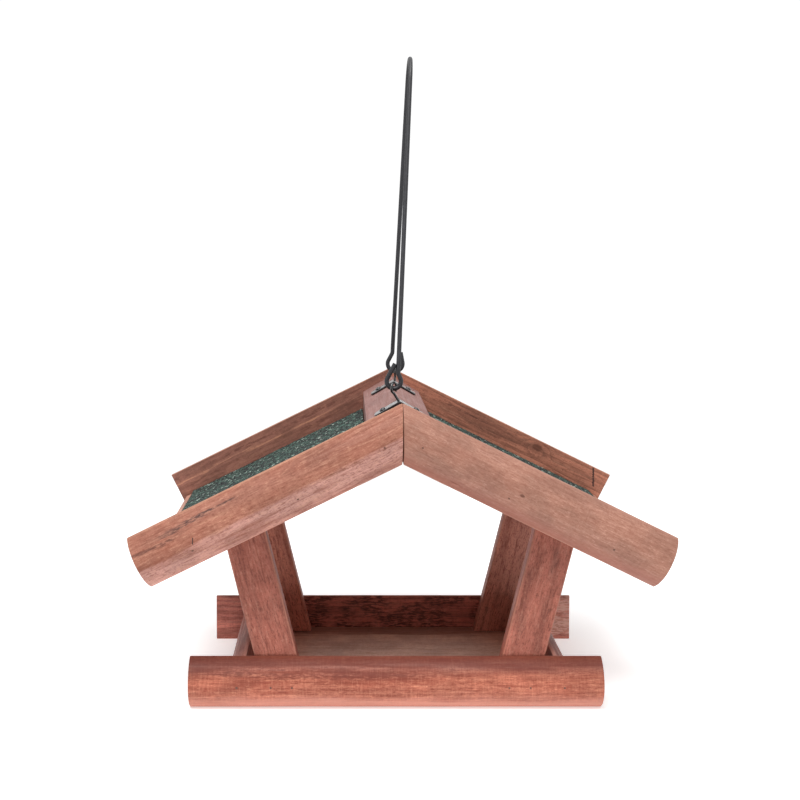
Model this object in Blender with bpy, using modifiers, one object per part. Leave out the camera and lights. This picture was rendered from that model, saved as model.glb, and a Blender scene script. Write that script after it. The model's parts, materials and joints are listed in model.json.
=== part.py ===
"""Hanging bird feeder: a timber tray on four raked posts under a felted gable roof, hung from a wire bail.

Frame: metres, +Z up, +Y to the rear, origin under the middle of the tray.
The front gable faces -Y. The bail swings on a line through the bends of its two hooks.
"""
from math import asin, atan2, cos, pi, radians, sin, sqrt, tan

import bmesh
import bpy
from mathutils import Matrix, Vector

# ---- driving dimensions, in metres and degrees -------------------------------------------------

GAP = 0.0003                    # air between pieces that touch

BATTEN_WIDTH = 0.038            # half-round roof battens, flat side inward
BATTEN_THICK = 0.014
BATTEN_EDGE = 0.002             # the straight part of each long edge
RAIL_HEIGHT = 0.037             # the same moulding, sawn for the tray

ROOF_PITCH = radians(26.2)
APEX_Z = 0.227                  # where the top edges of the gable battens meet
ROOF_HALF_SPAN = 0.191          # to the outer top corner of a gable batten
GABLE_Y = 0.1015                # flat inner face of the gable battens
MITRE_SEAM = 0.0006             # saw gap between two battens at the peak

PANEL_THICK = 0.006
PANEL_DROP = {"left": 0.0226, "right": 0.0220}     # top of a panel below the battens' top edge
PANEL_SETBACK = 0.0035          # the eave of a panel behind the ends of the battens
FELT_THICK = 0.0018
FELT_SETBACK = 0.0075           # bare board left showing at the eave

RIDGE_HALF_WIDTH = 0.024
RIDGE_TOP_Z = 0.220
RIDGE_SHOULDER_Z = 0.206
RIDGE_BOTTOM_Z = 0.1855

TRAY_Y = 0.068                  # flat inner face of the front and rear rails
RAIL_HALF_LENGTH = 0.1493
FRONT_RAIL_SHIFT = -0.0032
REAR_RAIL_SHIFT = 0.0008
SIDE_RAIL_X = 0.1115            # flat inner face of the side rails
FLOOR_THICK = 0.0105

POST_WIDTH = 0.0305
POST_THICK = 0.012
POST_LEAN = radians(14.0)
POST_OUTER_X = 0.1058           # outer edge of a post where it passes the top of the rails
POST_EDGE_ROUND = 0.0012

PLATE_Y = 0.055                 # the two saddle plates, fore and aft on the ridge beam
PLATE_HALF_SPAN = 0.0185
PLATE_WIDTH = 0.012
PLATE_THICK = 0.0015
SCREW_X = 0.0125                # plate screws, from the ridge line
SCREW_HEAD_RADIUS = 0.0024
SCREW_HEAD_HEIGHT = 0.0014
SCREW_SHANK_RADIUS = 0.0011
SCREW_SHANK = 0.011

EYE_WIRE = 0.0020
EYE_RADIUS = 0.0037             # to the middle of its wire
EYE_LIFT = 0.0006               # middle of the eye above the hook's lowest wire
EYE_TURN = {"front": radians(32.0), "rear": radians(4.0)}
EYE_FOOT_X = {"front": -0.0010, "rear": 0.0012}
EYE_RING_START = radians(-48.0)     # the ring's open end, and where it turns into the stem
EYE_RING_END = radians(248.0)
EYE_SHANK_END_Z = 0.209
EYE_HOLE_TOP = 0.002            # its hole is cut from this far above the plate

WIRE = 0.0034                   # the bail's wire
BAIL_TOP_Z = 0.4785             # top of the wire at rest
BAIL_ARCH_RADIUS = 0.021
BAIL_TILT = radians(2.65)       # how far the bail leans to +X at rest
HINGE_Z = 0.2357
HINGE_X = -0.0013
HINGE_SKEW = 0.0029             # front hook to -X and rear hook to +X of the hinge's middle
HOOK_LEAN = radians(25.0)       # how steeply a hook closes above its bend
HOOK = {
    "front": {"radius": 0.0052, "leg": 0.0028, "tip_lean": radians(25.0), "tip": 0.0118},
    "rear": {"radius": 0.0062, "leg": 0.0027, "tip_lean": radians(13.0), "tip": 0.0085},
}
NECK_RADIUS = 0.006             # the bend from hook to leg
NECK_STRAIGHT = 0.0002          # least straight wire between the hook and that bend
LEG_FOOT = 0.006                # height over which a leg turns in towards the arch

NAIL_RADIUS = 0.0007
NAIL_HEAD_RADIUS = 0.0012
NAIL_HEAD_HEIGHT = 0.0006
NAIL_SINK = 0.0004              # nail heads below the crown of the moulding
NAIL_HOLE_TOP = 0.004           # nail holes are cut from this far above the head
RAIL_NAIL = 0.024               # through a rail into a post
LONG_NAIL = 0.030               # through a rail or gable batten into an end or an edge
CORNER_NAIL_INTO = 0.43         # share of the side rail's thickness
RIDGE_NAIL_X = 0.0130
RIDGE_NAIL_DROP = 0.0200        # below the batten's top edge
UPPER_BOARD_NAIL_X = 0.0720
LOWER_BOARD_NAIL_X = 0.1440

RADIAL_SIDES = 12               # sides of nails, screws and their holes
CROWN_STEPS = 12                # facets across the round face of the moulding

SIDES = {"left": -1, "right": 1}
ENDS = {"front": -1, "rear": 1}

# ---- scene, collections and materials ----------------------------------------------------------

for old in list(bpy.data.objects):
    bpy.data.objects.remove(old, do_unlink=True)

parts = bpy.data.collections.new("bird_feeder")
cutters = bpy.data.collections.new("bird_feeder_cutters")
bpy.context.scene.collection.children.link(parts)
bpy.context.scene.collection.children.link(cutters)


def principled(name, colour, roughness, metallic=0.0):
    material = bpy.data.materials.new(name)
    material.use_nodes = True
    shader = material.node_tree.nodes["Principled BSDF"]
    shader.inputs["Base Color"].default_value = (*colour, 1.0)
    shader.inputs["Roughness"].default_value = roughness
    shader.inputs["Metallic"].default_value = metallic
    return material


STAINED_WOOD = principled("stained_wood", (0.36, 0.13, 0.075), 0.6)
PALE_WOOD = principled("pale_wood", (0.55, 0.33, 0.29), 0.7)
PLYWOOD = principled("plywood", (0.42, 0.24, 0.19), 0.75)
FELT = principled("roofing_felt", (0.03, 0.07, 0.06), 0.95)
BLACK_METAL = principled("black_metal", (0.012, 0.012, 0.014), 0.3, 0.6)
COATED_WIRE = principled("coated_wire", (0.03, 0.03, 0.035), 0.45, 0.2)
STEEL = principled("nail_steel", (0.3, 0.28, 0.26), 0.45, 1.0)

# ---- makers ------------------------------------------------------------------------------------


def add_part(name, mesh, material, smooth_angle=None):
    piece = bpy.data.objects.new(name, mesh)
    parts.objects.link(piece)
    piece.data.materials.clear()
    piece.data.materials.append(material)
    if smooth_angle is not None:
        mesh.shade_smooth()
        mesh.set_sharp_from_angle(angle=smooth_angle)
    return piece


def solid_from_curve(curve):
    """Turn a curve into a welded mesh whose faces point outwards, and remove the curve."""
    holder = bpy.data.objects.new(curve.name, curve)
    bpy.context.scene.collection.objects.link(holder)
    bpy.context.view_layer.update()
    evaluated = holder.evaluated_get(bpy.context.evaluated_depsgraph_get())
    mesh = bpy.data.meshes.new_from_object(evaluated)
    mesh.name = curve.name
    bpy.data.objects.remove(holder, do_unlink=True)
    shape = bmesh.new()
    shape.from_mesh(mesh)
    bmesh.ops.remove_doubles(shape, verts=shape.verts, dist=0.00001)
    bmesh.ops.recalc_face_normals(shape, faces=shape.faces)
    shape.to_mesh(mesh)
    shape.free()
    return mesh


def extrusion(name, outline, depth):
    """A closed outline in local X and Y, extruded evenly about local Z = 0."""
    curve = bpy.data.curves.new(name, "CURVE")
    curve.dimensions = "2D"
    curve.fill_mode = "BOTH"
    curve.extrude = depth / 2
    spline = curve.splines.new("POLY")
    spline.points.add(len(outline) - 1)
    for point, (x, y) in zip(spline.points, outline):
        point.co = (x, y, 0.0, 1.0)
    spline.use_cyclic_u = True
    return solid_from_curve(curve)


def gable_slab(name, outline, low_y, high_y):
    """An outline drawn in X and Z, running from low_y to high_y."""
    mesh = extrusion(name, outline, high_y - low_y)
    stand_up = Matrix.Rotation(pi / 2, 4, "X")
    mesh.transform(Matrix.Translation((0.0, (low_y + high_y) / 2, 0.0)) @ stand_up)
    return mesh


def crown_height(offset, width=BATTEN_WIDTH):
    """Thickness of the half-round moulding at an offset from the middle of its width."""
    rise = BATTEN_THICK - BATTEN_EDGE
    radius = (width * width / 4 + rise * rise) / (2 * rise)
    return BATTEN_THICK - radius + sqrt(radius * radius - offset * offset)


def moulding(name, length, width):
    """Half-round moulding along +X from 0, its width along Z, flat at Y = 0 and crowned towards -Y."""
    outline = [(0.0, width / 2), (0.0, -width / 2)]
    for step in range(CROWN_STEPS + 1):
        offset = width * (step / CROWN_STEPS - 0.5)
        outline.append((-crown_height(offset, width), offset))
    mesh = extrusion(name, outline, length)
    along_x = Matrix(((0, 0, 1, length / 2), (1, 0, 0, 0), (0, 1, 0, 0), (0, 0, 0, 1)))
    mesh.transform(along_x)
    return mesh


def turned(name, profile):
    """A closed solid of revolution about Z. The profile is (radius, z), top to bottom."""
    mesh = bpy.data.meshes.new(name)
    points = [(radius, 0.0, z) for radius, z in profile]
    edges = [(index, index + 1) for index in range(len(points) - 1)]
    mesh.from_pydata(points, edges, [])
    holder = bpy.data.objects.new(name, mesh)
    bpy.context.scene.collection.objects.link(holder)
    screw = holder.modifiers.new("turn", "SCREW")
    screw.steps = RADIAL_SIDES
    screw.render_steps = RADIAL_SIDES
    screw.use_merge_vertices = True
    screw.merge_threshold = 0.00001
    bpy.context.view_layer.update()
    evaluated = holder.evaluated_get(bpy.context.evaluated_depsgraph_get())
    solid = bpy.data.meshes.new_from_object(evaluated)
    solid.name = name
    bpy.data.objects.remove(holder, do_unlink=True)
    return solid


def bent_wire(name, route, diameter, resolution=2):
    """A wire through every point of a route, with flat closed ends."""
    curve = bpy.data.curves.new(name, "CURVE")
    curve.dimensions = "3D"
    curve.bevel_depth = diameter / 2
    curve.bevel_resolution = resolution
    curve.use_fill_caps = True
    spline = curve.splines.new("POLY")
    spline.points.add(len(route) - 1)
    for point, place in zip(spline.points, route):
        point.co = (*place, 1.0)
    return solid_from_curve(curve)


def pointing(origin, direction):
    """A matrix that puts local -Z along a direction, so a head at Z = 0 faces back along it."""
    turn = Vector((0.0, 0.0, -1.0)).rotation_difference(Vector(direction).normalized())
    return Matrix.Translation(origin) @ turn.to_matrix().to_4x4()


def drill(piece, cutter):
    cut = piece.modifiers.new("hole_" + cutter.name, "BOOLEAN")
    cut.operation = "DIFFERENCE"
    cut.solver = "EXACT"
    cut.object = cutter


def round_edges(piece, width, segments):
    """Round every sharp edge of a piece; curved faces are left alone."""
    bevel = piece.modifiers.new("rounded_edges", "BEVEL")
    bevel.width = width
    bevel.segments = segments
    bevel.limit_method = "ANGLE"
    bevel.angle_limit = radians(35.0)


# ---- lines of the roof and of the posts --------------------------------------------------------


def roof_z(x, drop):
    """Height of a plane that lies drop below the battens' top edge, measured square to the slope."""
    return APEX_Z - abs(x) * tan(ROOF_PITCH) - drop / cos(ROOF_PITCH)


def post_outer_x(z):
    return POST_OUTER_X + (z - RAIL_HEIGHT) * tan(POST_LEAN)


def post_meets_panel(side, inset):
    """Where a line inset from a post's outer edge comes up under the roof panel."""
    drop = PANEL_DROP[side] + PANEL_THICK + GAP
    start = post_outer_x(0.0) - inset
    z = (roof_z(0.0, drop) - start * tan(ROOF_PITCH)) / (1 + tan(POST_LEAN) * tan(ROOF_PITCH))
    return start + z * tan(POST_LEAN), z


# ---- tray: floor, two long rails, two side rails -----------------------------------------------

bpy.ops.mesh.primitive_cube_add(size=1.0)
floor_panel = bpy.context.object
floor_panel.name = "floor_panel"
floor_size = (2 * (SIDE_RAIL_X - GAP), 2 * (TRAY_Y - GAP), FLOOR_THICK)
floor_panel.data.transform(Matrix.Translation((0, 0, FLOOR_THICK / 2)) @ Matrix.Diagonal((*floor_size, 1)))
for holder in list(floor_panel.users_collection):
    holder.objects.unlink(floor_panel)
parts.objects.link(floor_panel)
floor_panel.data.materials.append(PLYWOOD)

rails = {}
for end, facing in ENDS.items():
    shift = FRONT_RAIL_SHIFT if end == "front" else REAR_RAIL_SHIFT
    rail_mesh = moulding(end + "_rail", 2 * RAIL_HALF_LENGTH, RAIL_HEIGHT)
    rail_mesh.transform(Matrix.Translation((-RAIL_HALF_LENGTH, 0, 0)))
    if end == "rear":
        rail_mesh.transform(Matrix.Rotation(pi, 4, "Z"))
    rails[end] = add_part(end + "_rail", rail_mesh, STAINED_WOOD, radians(35))
    rails[end].location = (shift, facing * TRAY_Y, RAIL_HEIGHT / 2)

side_rails = {}
for side, facing in SIDES.items():
    rail_mesh = moulding(side + "_side_rail", 2 * (TRAY_Y - GAP), RAIL_HEIGHT)
    rail_mesh.transform(Matrix.Translation((-(TRAY_Y - GAP), 0, 0)))
    rail_mesh.transform(Matrix.Rotation(facing * pi / 2, 4, "Z"))
    side_rails[side] = add_part(side + "_side_rail", rail_mesh, STAINED_WOOD, radians(35))
    side_rails[side].location = (facing * SIDE_RAIL_X, 0.0, RAIL_HEIGHT / 2)

# ---- four raked posts, cut level at the floor and to the roof slope at the top ------------------

posts = {}
for end, y_sign in ENDS.items():
    for side, x_sign in SIDES.items():
        across = POST_WIDTH / cos(POST_LEAN)
        foot_z = FLOOR_THICK + GAP
        foot_x = post_outer_x(foot_z)
        outer_top = post_meets_panel(side, 0.0)
        inner_top = post_meets_panel(side, across)
        outline = [(foot_x - across, foot_z), (foot_x, foot_z), outer_top, inner_top]
        outline = [(x_sign * x, z) for x, z in outline]
        outer_y = y_sign * (TRAY_Y - GAP)
        inner_y = outer_y - y_sign * POST_THICK
        name = end + "_" + side + "_post"
        mesh = gable_slab(name, outline, min(outer_y, inner_y), max(outer_y, inner_y))
        posts[end, side] = add_part(name, mesh, STAINED_WOOD)
        round_edges(posts[end, side], POST_EDGE_ROUND, 2)

# ---- roof: ridge beam, two boards, two sheets of felt -------------------------------------------

BEAM_HALF_LENGTH = GABLE_Y - GAP
ridge_outline = [
    (-RIDGE_HALF_WIDTH, RIDGE_BOTTOM_Z),
    (RIDGE_HALF_WIDTH, RIDGE_BOTTOM_Z),
    (RIDGE_HALF_WIDTH, RIDGE_SHOULDER_Z),
    (0.0, RIDGE_TOP_Z),
    (-RIDGE_HALF_WIDTH, RIDGE_SHOULDER_Z),
]
ridge_beam = add_part(
    "ridge_beam", gable_slab("ridge_beam", ridge_outline, -BEAM_HALF_LENGTH, BEAM_HALF_LENGTH), PALE_WOOD
)


def roof_sheet(name, side, drop, thickness, setback, material):
    """A sheet between the gable battens, butted on the ridge beam and cut square at the eave."""
    batten_end_x = ROOF_HALF_SPAN - drop * sin(ROOF_PITCH)
    eave_x = batten_end_x - setback * cos(ROOF_PITCH)
    upper_x = RIDGE_HALF_WIDTH + GAP
    below = drop + thickness
    outline = [
        (upper_x, roof_z(upper_x, drop)),
        (upper_x, roof_z(upper_x, below)),
        (eave_x - thickness * sin(ROOF_PITCH), roof_z(eave_x - thickness * sin(ROOF_PITCH), below)),
        (eave_x, roof_z(eave_x, drop)),
    ]
    outline = [(SIDES[side] * x, z) for x, z in outline]
    return add_part(name, gable_slab(name, outline, -BEAM_HALF_LENGTH, BEAM_HALF_LENGTH), material)


panels = {}
for side in SIDES:
    panels[side] = roof_sheet(
        side + "_roof_panel", side, PANEL_DROP[side], PANEL_THICK, PANEL_SETBACK, PLYWOOD
    )
    felt_drop = PANEL_DROP[side] - GAP - FELT_THICK
    roof_sheet(side + "_felt", side, felt_drop, FELT_THICK, PANEL_SETBACK + FELT_SETBACK, FELT)

# ---- four gable battens, mitred at the peak and square at the eave ------------------------------

boards = {}
for end in ENDS:
    for side, x_sign in SIDES.items():
        length = (ROOF_HALF_SPAN - BATTEN_WIDTH / 2 * sin(ROOF_PITCH)) / cos(ROOF_PITCH)
        name = end + "_" + side + "_bargeboard"
        board_mesh = moulding(name, length, BATTEN_WIDTH)
        mirrored = x_sign if end == "front" else -x_sign
        for corner in board_mesh.vertices:
            if corner.co.x < length / 2:
                slide = MITRE_SEAM / 2 - mirrored * corner.co.z * sin(ROOF_PITCH)
                corner.co.x = slide / cos(ROOF_PITCH)
        pitch = ROOF_PITCH if mirrored > 0 else pi - ROOF_PITCH
        board_mesh.transform(Matrix.Rotation(pitch, 4, "Y"))
        if end == "rear":
            board_mesh.transform(Matrix.Rotation(pi, 4, "Z"))
        boards[end, side] = add_part(name, board_mesh, STAINED_WOOD, radians(35))
        boards[end, side].location = (0.0, ENDS[end] * GABLE_Y, roof_z(0.0, BATTEN_WIDTH / 2))

# ---- nails, each in its own drilled hole --------------------------------------------------------

nail_meshes = {}


def nail(name, head, direction, length, pieces):
    """Drive a nail through the named pieces. Its hole is larger all round by the usual gap."""
    if length not in nail_meshes:
        shape = [
            (0.0, 0.0),
            (NAIL_HEAD_RADIUS, 0.0),
            (NAIL_HEAD_RADIUS, -NAIL_HEAD_HEIGHT),
            (NAIL_RADIUS, -NAIL_HEAD_HEIGHT),
            (NAIL_RADIUS, -length),
            (0.0, -length),
        ]
        hole = [
            (0.0, NAIL_HOLE_TOP),
            (NAIL_HEAD_RADIUS + GAP, NAIL_HOLE_TOP),
            (NAIL_HEAD_RADIUS + GAP, -NAIL_HEAD_HEIGHT - GAP),
            (NAIL_RADIUS + GAP, -NAIL_HEAD_HEIGHT - GAP),
            (NAIL_RADIUS + GAP, -length - GAP),
            (0.0, -length - GAP),
        ]
        nail_meshes[length] = (turned("nail", shape), turned("nail_hole", hole))
    solid, hole = nail_meshes[length]
    place = pointing(head, direction)
    pin = bpy.data.objects.new(name, solid)
    parts.objects.link(pin)
    pin.matrix_world = place
    if not solid.materials:
        solid.materials.append(STEEL)
    cutter = bpy.data.objects.new(name + "_hole", hole)
    cutters.objects.link(cutter)
    cutter.matrix_world = place
    cutter.hide_render = True
    cutter.display_type = "WIRE"
    for piece in pieces:
        drill(piece, cutter)


for end, y_sign in ENDS.items():
    inward = (0.0, -y_sign, 0.0)
    for side, x_sign in SIDES.items():
        label = end + "_" + side
        crown_y = y_sign * (TRAY_Y + BATTEN_THICK - NAIL_SINK)
        nail_z = RAIL_HEIGHT / 2
        post_x = post_outer_x(nail_z) - POST_WIDTH / cos(POST_LEAN) / 2
        nail_reach = POST_WIDTH / 4
        for order, shift in (("inner", -nail_reach), ("outer", nail_reach)):
            head = (x_sign * (post_x + shift), crown_y, nail_z)
            nail(label + "_post_nail_" + order, head, inward, RAIL_NAIL, [rails[end], posts[end, side]])
        corner = (x_sign * (SIDE_RAIL_X + BATTEN_THICK * CORNER_NAIL_INTO), crown_y, nail_z)
        nail(label + "_corner_nail", corner, inward, LONG_NAIL, [rails[end], side_rails[side]])

        # through the gable batten: one into the end of the ridge beam, two into the edge of the panel
        panel_middle = PANEL_DROP[side] + PANEL_THICK / 2
        spots = (
            ("ridge_nail", RIDGE_NAIL_X, RIDGE_NAIL_DROP, ridge_beam),
            ("upper_board_nail", UPPER_BOARD_NAIL_X, panel_middle, panels[side]),
            ("lower_board_nail", LOWER_BOARD_NAIL_X, panel_middle, panels[side]),
        )
        for tag, x, depth, backing in spots:
            level = crown_height(depth - BATTEN_WIDTH / 2) - NAIL_SINK
            head = (x_sign * x, y_sign * (GABLE_Y + level), roof_z(x, depth))
            nail(label + "_" + tag, head, inward, LONG_NAIL, [boards[end, side], backing])

# ---- ridge fittings: saddle plate, two screws and an eye at each end ----------------------------

RIDGE_SLOPE = atan2(RIDGE_TOP_Z - RIDGE_SHOULDER_Z, RIDGE_HALF_WIDTH)


def saddle_z(x, above):
    """Height above the sloping top of the ridge beam, measured square to it."""
    return RIDGE_TOP_Z - abs(x) * tan(RIDGE_SLOPE) + above / cos(RIDGE_SLOPE)


def hinge_x(y):
    """X of the bail's hinge line, which runs slightly askew to the ridge."""
    return HINGE_X + HINGE_SKEW * y / PLATE_Y


def eye_route(end):
    """An open ring, then a short stem that leans to its foot and a shank straight down."""
    y = ENDS[end] * PLATE_Y
    middle = Vector((hinge_x(y), y, HINGE_Z - HOOK[end]["radius"] + EYE_LIFT))
    across = Vector((sin(EYE_TURN[end]), cos(EYE_TURN[end]), 0.0))
    up = Vector((0.0, 0.0, 1.0))
    route = []
    steps = 22
    for step in range(steps + 1):
        angle = EYE_RING_START + (EYE_RING_END - EYE_RING_START) * step / steps
        route.append(middle + EYE_RADIUS * (cos(angle) * across + sin(angle) * up))
    foot = Vector((EYE_FOOT_X[end], y, saddle_z(EYE_FOOT_X[end], GAP + PLATE_THICK)))
    start = route[-1]
    bend = middle - up * EYE_RADIUS * 1.08
    stem_top = bend.lerp(foot, 0.3)
    for t in (0.35, 0.7, 1.0):
        route.append(start.lerp(bend, t).lerp(bend.lerp(stem_top, t), t))
    route.append(stem_top.lerp(foot, 0.7))
    route.append(foot + up * 0.0002)
    route.append(foot - up * 0.0012)
    route.append(Vector((foot.x, y, EYE_SHANK_END_Z)))
    return route


for end, y_sign in ENDS.items():
    y = y_sign * PLATE_Y
    corners = (PLATE_HALF_SPAN, 0.0, -PLATE_HALF_SPAN)
    outline = [(x, saddle_z(x, GAP + PLATE_THICK)) for x in corners]
    outline += [(x, saddle_z(x, GAP)) for x in reversed(corners)]
    name = end + "_saddle_plate"
    mesh = gable_slab(name, outline, y - PLATE_WIDTH / 2, y + PLATE_WIDTH / 2)
    plate = add_part(name, mesh, BLACK_METAL)

    add_part(end + "_eye", bent_wire(end + "_eye", eye_route(end), EYE_WIRE), BLACK_METAL, radians(50))
    shank_depth = saddle_z(0.0, PLATE_THICK) + EYE_HOLE_TOP - EYE_SHANK_END_Z
    bore = turned("eye_hole", [
        (0.0, 0.0),
        (EYE_WIRE / 2 + 2 * GAP, 0.0),
        (EYE_WIRE / 2 + 2 * GAP, -shank_depth - GAP),
        (0.0, -shank_depth - GAP),
    ])
    cutter = bpy.data.objects.new(end + "_eye_hole", bore)
    cutters.objects.link(cutter)
    cutter.location = (EYE_FOOT_X[end], y, EYE_SHANK_END_Z + shank_depth)
    cutter.hide_render = True
    cutter.display_type = "WIRE"
    drill(plate, cutter)
    drill(ridge_beam, cutter)

    for side, x_sign in SIDES.items():
        dome = [(0.0, SCREW_HEAD_HEIGHT)]
        for step in (1, 2):
            angle = radians(90 - step * 35)
            dome.append((SCREW_HEAD_RADIUS * cos(angle), SCREW_HEAD_HEIGHT * sin(angle)))
        screw_shape = dome + [
            (SCREW_HEAD_RADIUS, 0.0),
            (SCREW_SHANK_RADIUS, 0.0),
            (SCREW_SHANK_RADIUS, -SCREW_SHANK),
            (0.0, -SCREW_SHANK),
        ]
        hole_shape = [
            (0.0, GAP / 2),
            (SCREW_SHANK_RADIUS + GAP, GAP / 2),
            (SCREW_SHANK_RADIUS + GAP, -SCREW_SHANK - GAP),
            (0.0, -SCREW_SHANK - GAP),
        ]
        seat = (x_sign * SCREW_X, y, saddle_z(SCREW_X, PLATE_THICK + 2 * GAP))
        square_in = (-x_sign * sin(RIDGE_SLOPE), 0.0, -cos(RIDGE_SLOPE))
        name = end + "_plate_screw_" + side
        screw = add_part(name, turned(name, screw_shape), BLACK_METAL, radians(40))
        screw.matrix_world = pointing(seat, square_in)
        cutter = bpy.data.objects.new(name + "_hole", turned(name + "_hole", hole_shape))
        cutters.objects.link(cutter)
        cutter.matrix_world = pointing(seat, square_in)
        cutter.hide_render = True
        cutter.display_type = "WIRE"
        drill(plate, cutter)
        drill(ridge_beam, cutter)

# ---- wire bail ----------------------------------------------------------------------------------


def arc(centre, radius, first, last, steps):
    """Points round a bend in a plane, angles from +X towards +Z."""
    points = []
    for step in range(steps + 1):
        angle = first + (last - first) * step / steps
        points.append((centre[0] + radius * cos(angle), centre[1] + radius * sin(angle)))
    return points


def hook_and_leg(end):
    """Half of the bail in its own frame: Y along the hinge, from the hook's tip to the top of the arch.

    Both halves are worked out as the front one, whose leg rises on +X. The rear one is then turned
    half a turn about the vertical.
    """
    size = HOOK[end]
    radius = size["radius"]
    reach = hypotenuse(PLATE_Y, HINGE_SKEW)
    # the bend, from the tip's side round underneath to the leg's side
    bend_start = -pi - size["tip_lean"]
    bend_end = HOOK_LEAN
    bend = arc((0.0, 0.0), radius, bend_start, bend_end, 20)
    tip_x = bend[0][0] + size["tip"] * sin(size["tip_lean"])
    tip_z = bend[0][1] + size["tip"] * cos(size["tip_lean"])
    flat = [(tip_x, tip_z)] + bend
    # the neck, a straight and a bend that bring the wire upright on the leg's line
    swing = NECK_RADIUS * (1 - cos(HOOK_LEAN))
    run = max(NECK_STRAIGHT, (bend[-1][0] - size["leg"] - swing) / sin(HOOK_LEAN))
    neck_x = bend[-1][0] - run * sin(HOOK_LEAN)
    neck_z = bend[-1][1] + run * cos(HOOK_LEAN)
    centre = (neck_x + NECK_RADIUS * cos(HOOK_LEAN), neck_z + NECK_RADIUS * sin(HOOK_LEAN))
    neck = arc(centre, NECK_RADIUS, pi + HOOK_LEAN, pi, 4)
    flat += neck
    route = [Vector((x, -reach, z)) for x, z in flat]
    # the leg leans in to the arch at the top
    start = Vector((neck[-1][0], -reach, neck[-1][1]))
    top = (BAIL_TOP_Z - HINGE_Z) / cos(BAIL_TILT) - WIRE / 2
    arch_z = top - BAIL_ARCH_RADIUS
    to_centre = hypotenuse(reach, arch_z - start.z)
    lean_in = atan2(reach, arch_z - start.z) - asin(BAIL_ARCH_RADIUS / to_centre)
    shoulder = arc((0.0, arch_z), BAIL_ARCH_RADIUS, pi - lean_in, pi / 2, 8)
    route.append(start + Vector((0.0, LEG_FOOT / 2 * tan(lean_in), LEG_FOOT)))
    for y, z in shoulder:
        route.append(Vector((start.x * -y / reach, y, z)))
    return route


def hypotenuse(a, b):
    return sqrt(a * a + b * b)


front_half = hook_and_leg("front")
rear_half = [Vector((-point.x, -point.y, point.z)) for point in hook_and_leg("rear")]
rear_half.reverse()
bail_route = front_half + rear_half[1:]

skew = Matrix.Rotation(-atan2(HINGE_SKEW, PLATE_Y), 4, "Z")
tilt = Matrix.Rotation(BAIL_TILT, 4, "Y")
bail = add_part("bail", bent_wire("bail", bail_route, WIRE, 2), COATED_WIRE, radians(50))
bail.matrix_world = Matrix.Translation((HINGE_X, 0.0, HINGE_Z)) @ skew @ tilt
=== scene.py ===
# %% [markdown]
# # A hanging bird feeder
# The feeder is nailed together from stained softwood: a tray with half-round rails, four raked posts and
# a gable roof of thin board under mineral felt. A bent wire bail carries it on two eyes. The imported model
# gives the main sizes. This script gives each stick its rounded arrises, grain and knots, gives the felt its
# granules and the metal its finish. A CAD solid is kept hidden where a finer piece stands for it.

# %% Load the frame
import json
from math import asin, atan2, cos, hypot, pi, radians, sin, tan

import bmesh
import bpy
from mathutils import Matrix, Vector, noise

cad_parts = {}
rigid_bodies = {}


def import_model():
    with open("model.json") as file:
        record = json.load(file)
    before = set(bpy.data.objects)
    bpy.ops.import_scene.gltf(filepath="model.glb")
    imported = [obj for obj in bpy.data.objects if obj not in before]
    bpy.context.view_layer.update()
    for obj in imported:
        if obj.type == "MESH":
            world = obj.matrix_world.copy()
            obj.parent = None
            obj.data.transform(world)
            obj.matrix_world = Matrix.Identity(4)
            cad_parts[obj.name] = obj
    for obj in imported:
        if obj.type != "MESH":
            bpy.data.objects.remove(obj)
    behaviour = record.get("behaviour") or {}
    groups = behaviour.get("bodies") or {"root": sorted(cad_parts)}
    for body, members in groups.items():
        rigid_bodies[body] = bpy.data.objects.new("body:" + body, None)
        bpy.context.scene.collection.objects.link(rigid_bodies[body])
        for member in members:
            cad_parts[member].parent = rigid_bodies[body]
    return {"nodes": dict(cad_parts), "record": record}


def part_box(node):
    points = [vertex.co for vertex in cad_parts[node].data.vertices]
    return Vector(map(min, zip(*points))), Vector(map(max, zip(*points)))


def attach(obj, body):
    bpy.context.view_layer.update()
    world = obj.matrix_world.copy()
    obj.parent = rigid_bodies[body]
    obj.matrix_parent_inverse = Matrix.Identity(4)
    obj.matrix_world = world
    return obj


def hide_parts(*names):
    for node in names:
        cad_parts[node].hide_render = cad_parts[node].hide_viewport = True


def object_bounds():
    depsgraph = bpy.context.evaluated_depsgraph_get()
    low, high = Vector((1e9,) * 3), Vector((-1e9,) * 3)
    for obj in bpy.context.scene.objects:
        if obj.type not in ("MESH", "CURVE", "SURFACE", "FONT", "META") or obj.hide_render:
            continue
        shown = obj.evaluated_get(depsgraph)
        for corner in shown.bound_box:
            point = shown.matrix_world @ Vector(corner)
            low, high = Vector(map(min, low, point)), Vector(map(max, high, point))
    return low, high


for starter in list(bpy.data.objects):
    bpy.data.objects.remove(starter, do_unlink=True)
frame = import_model()
cad_box = [list(corner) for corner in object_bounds()]
print("CAD box", cad_box)

UP = Vector((0.0, 0.0, 1.0))
MM = 0.001
SIDES = {"left": -1, "right": 1}
ENDS = {"front": -1, "rear": 1}

# %% [markdown]
# ## Studio
# The camera looks from the front, a little above the tray, so both the roof and the inside of the
# tray show. It is nearly level, which keeps the posts and rails from leaning, and a small lens
# shift slides the picture down to the object. The light comes mostly from above and is thrown back up
# by a white floor. The room is white to look at and in reflections, and dimmer as a light.

# %% Camera
scene = bpy.context.scene
scene.view_settings.view_transform = "Standard"
camera_data = bpy.data.cameras.new("camera")
camera_data.lens = 51.55
camera_data.sensor_width = 36.0
camera_data.shift_x = 0.069
camera_data.shift_y = -0.14
camera_data.clip_end = 50.0
camera = bpy.data.objects.new("camera", camera_data)
camera.location = (-0.0400, -0.8864, 0.3460)
camera.rotation_euler = (radians(90.0 - 2.9), 0.0, 0.0)
scene.collection.objects.link(camera)
scene.camera = camera


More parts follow.
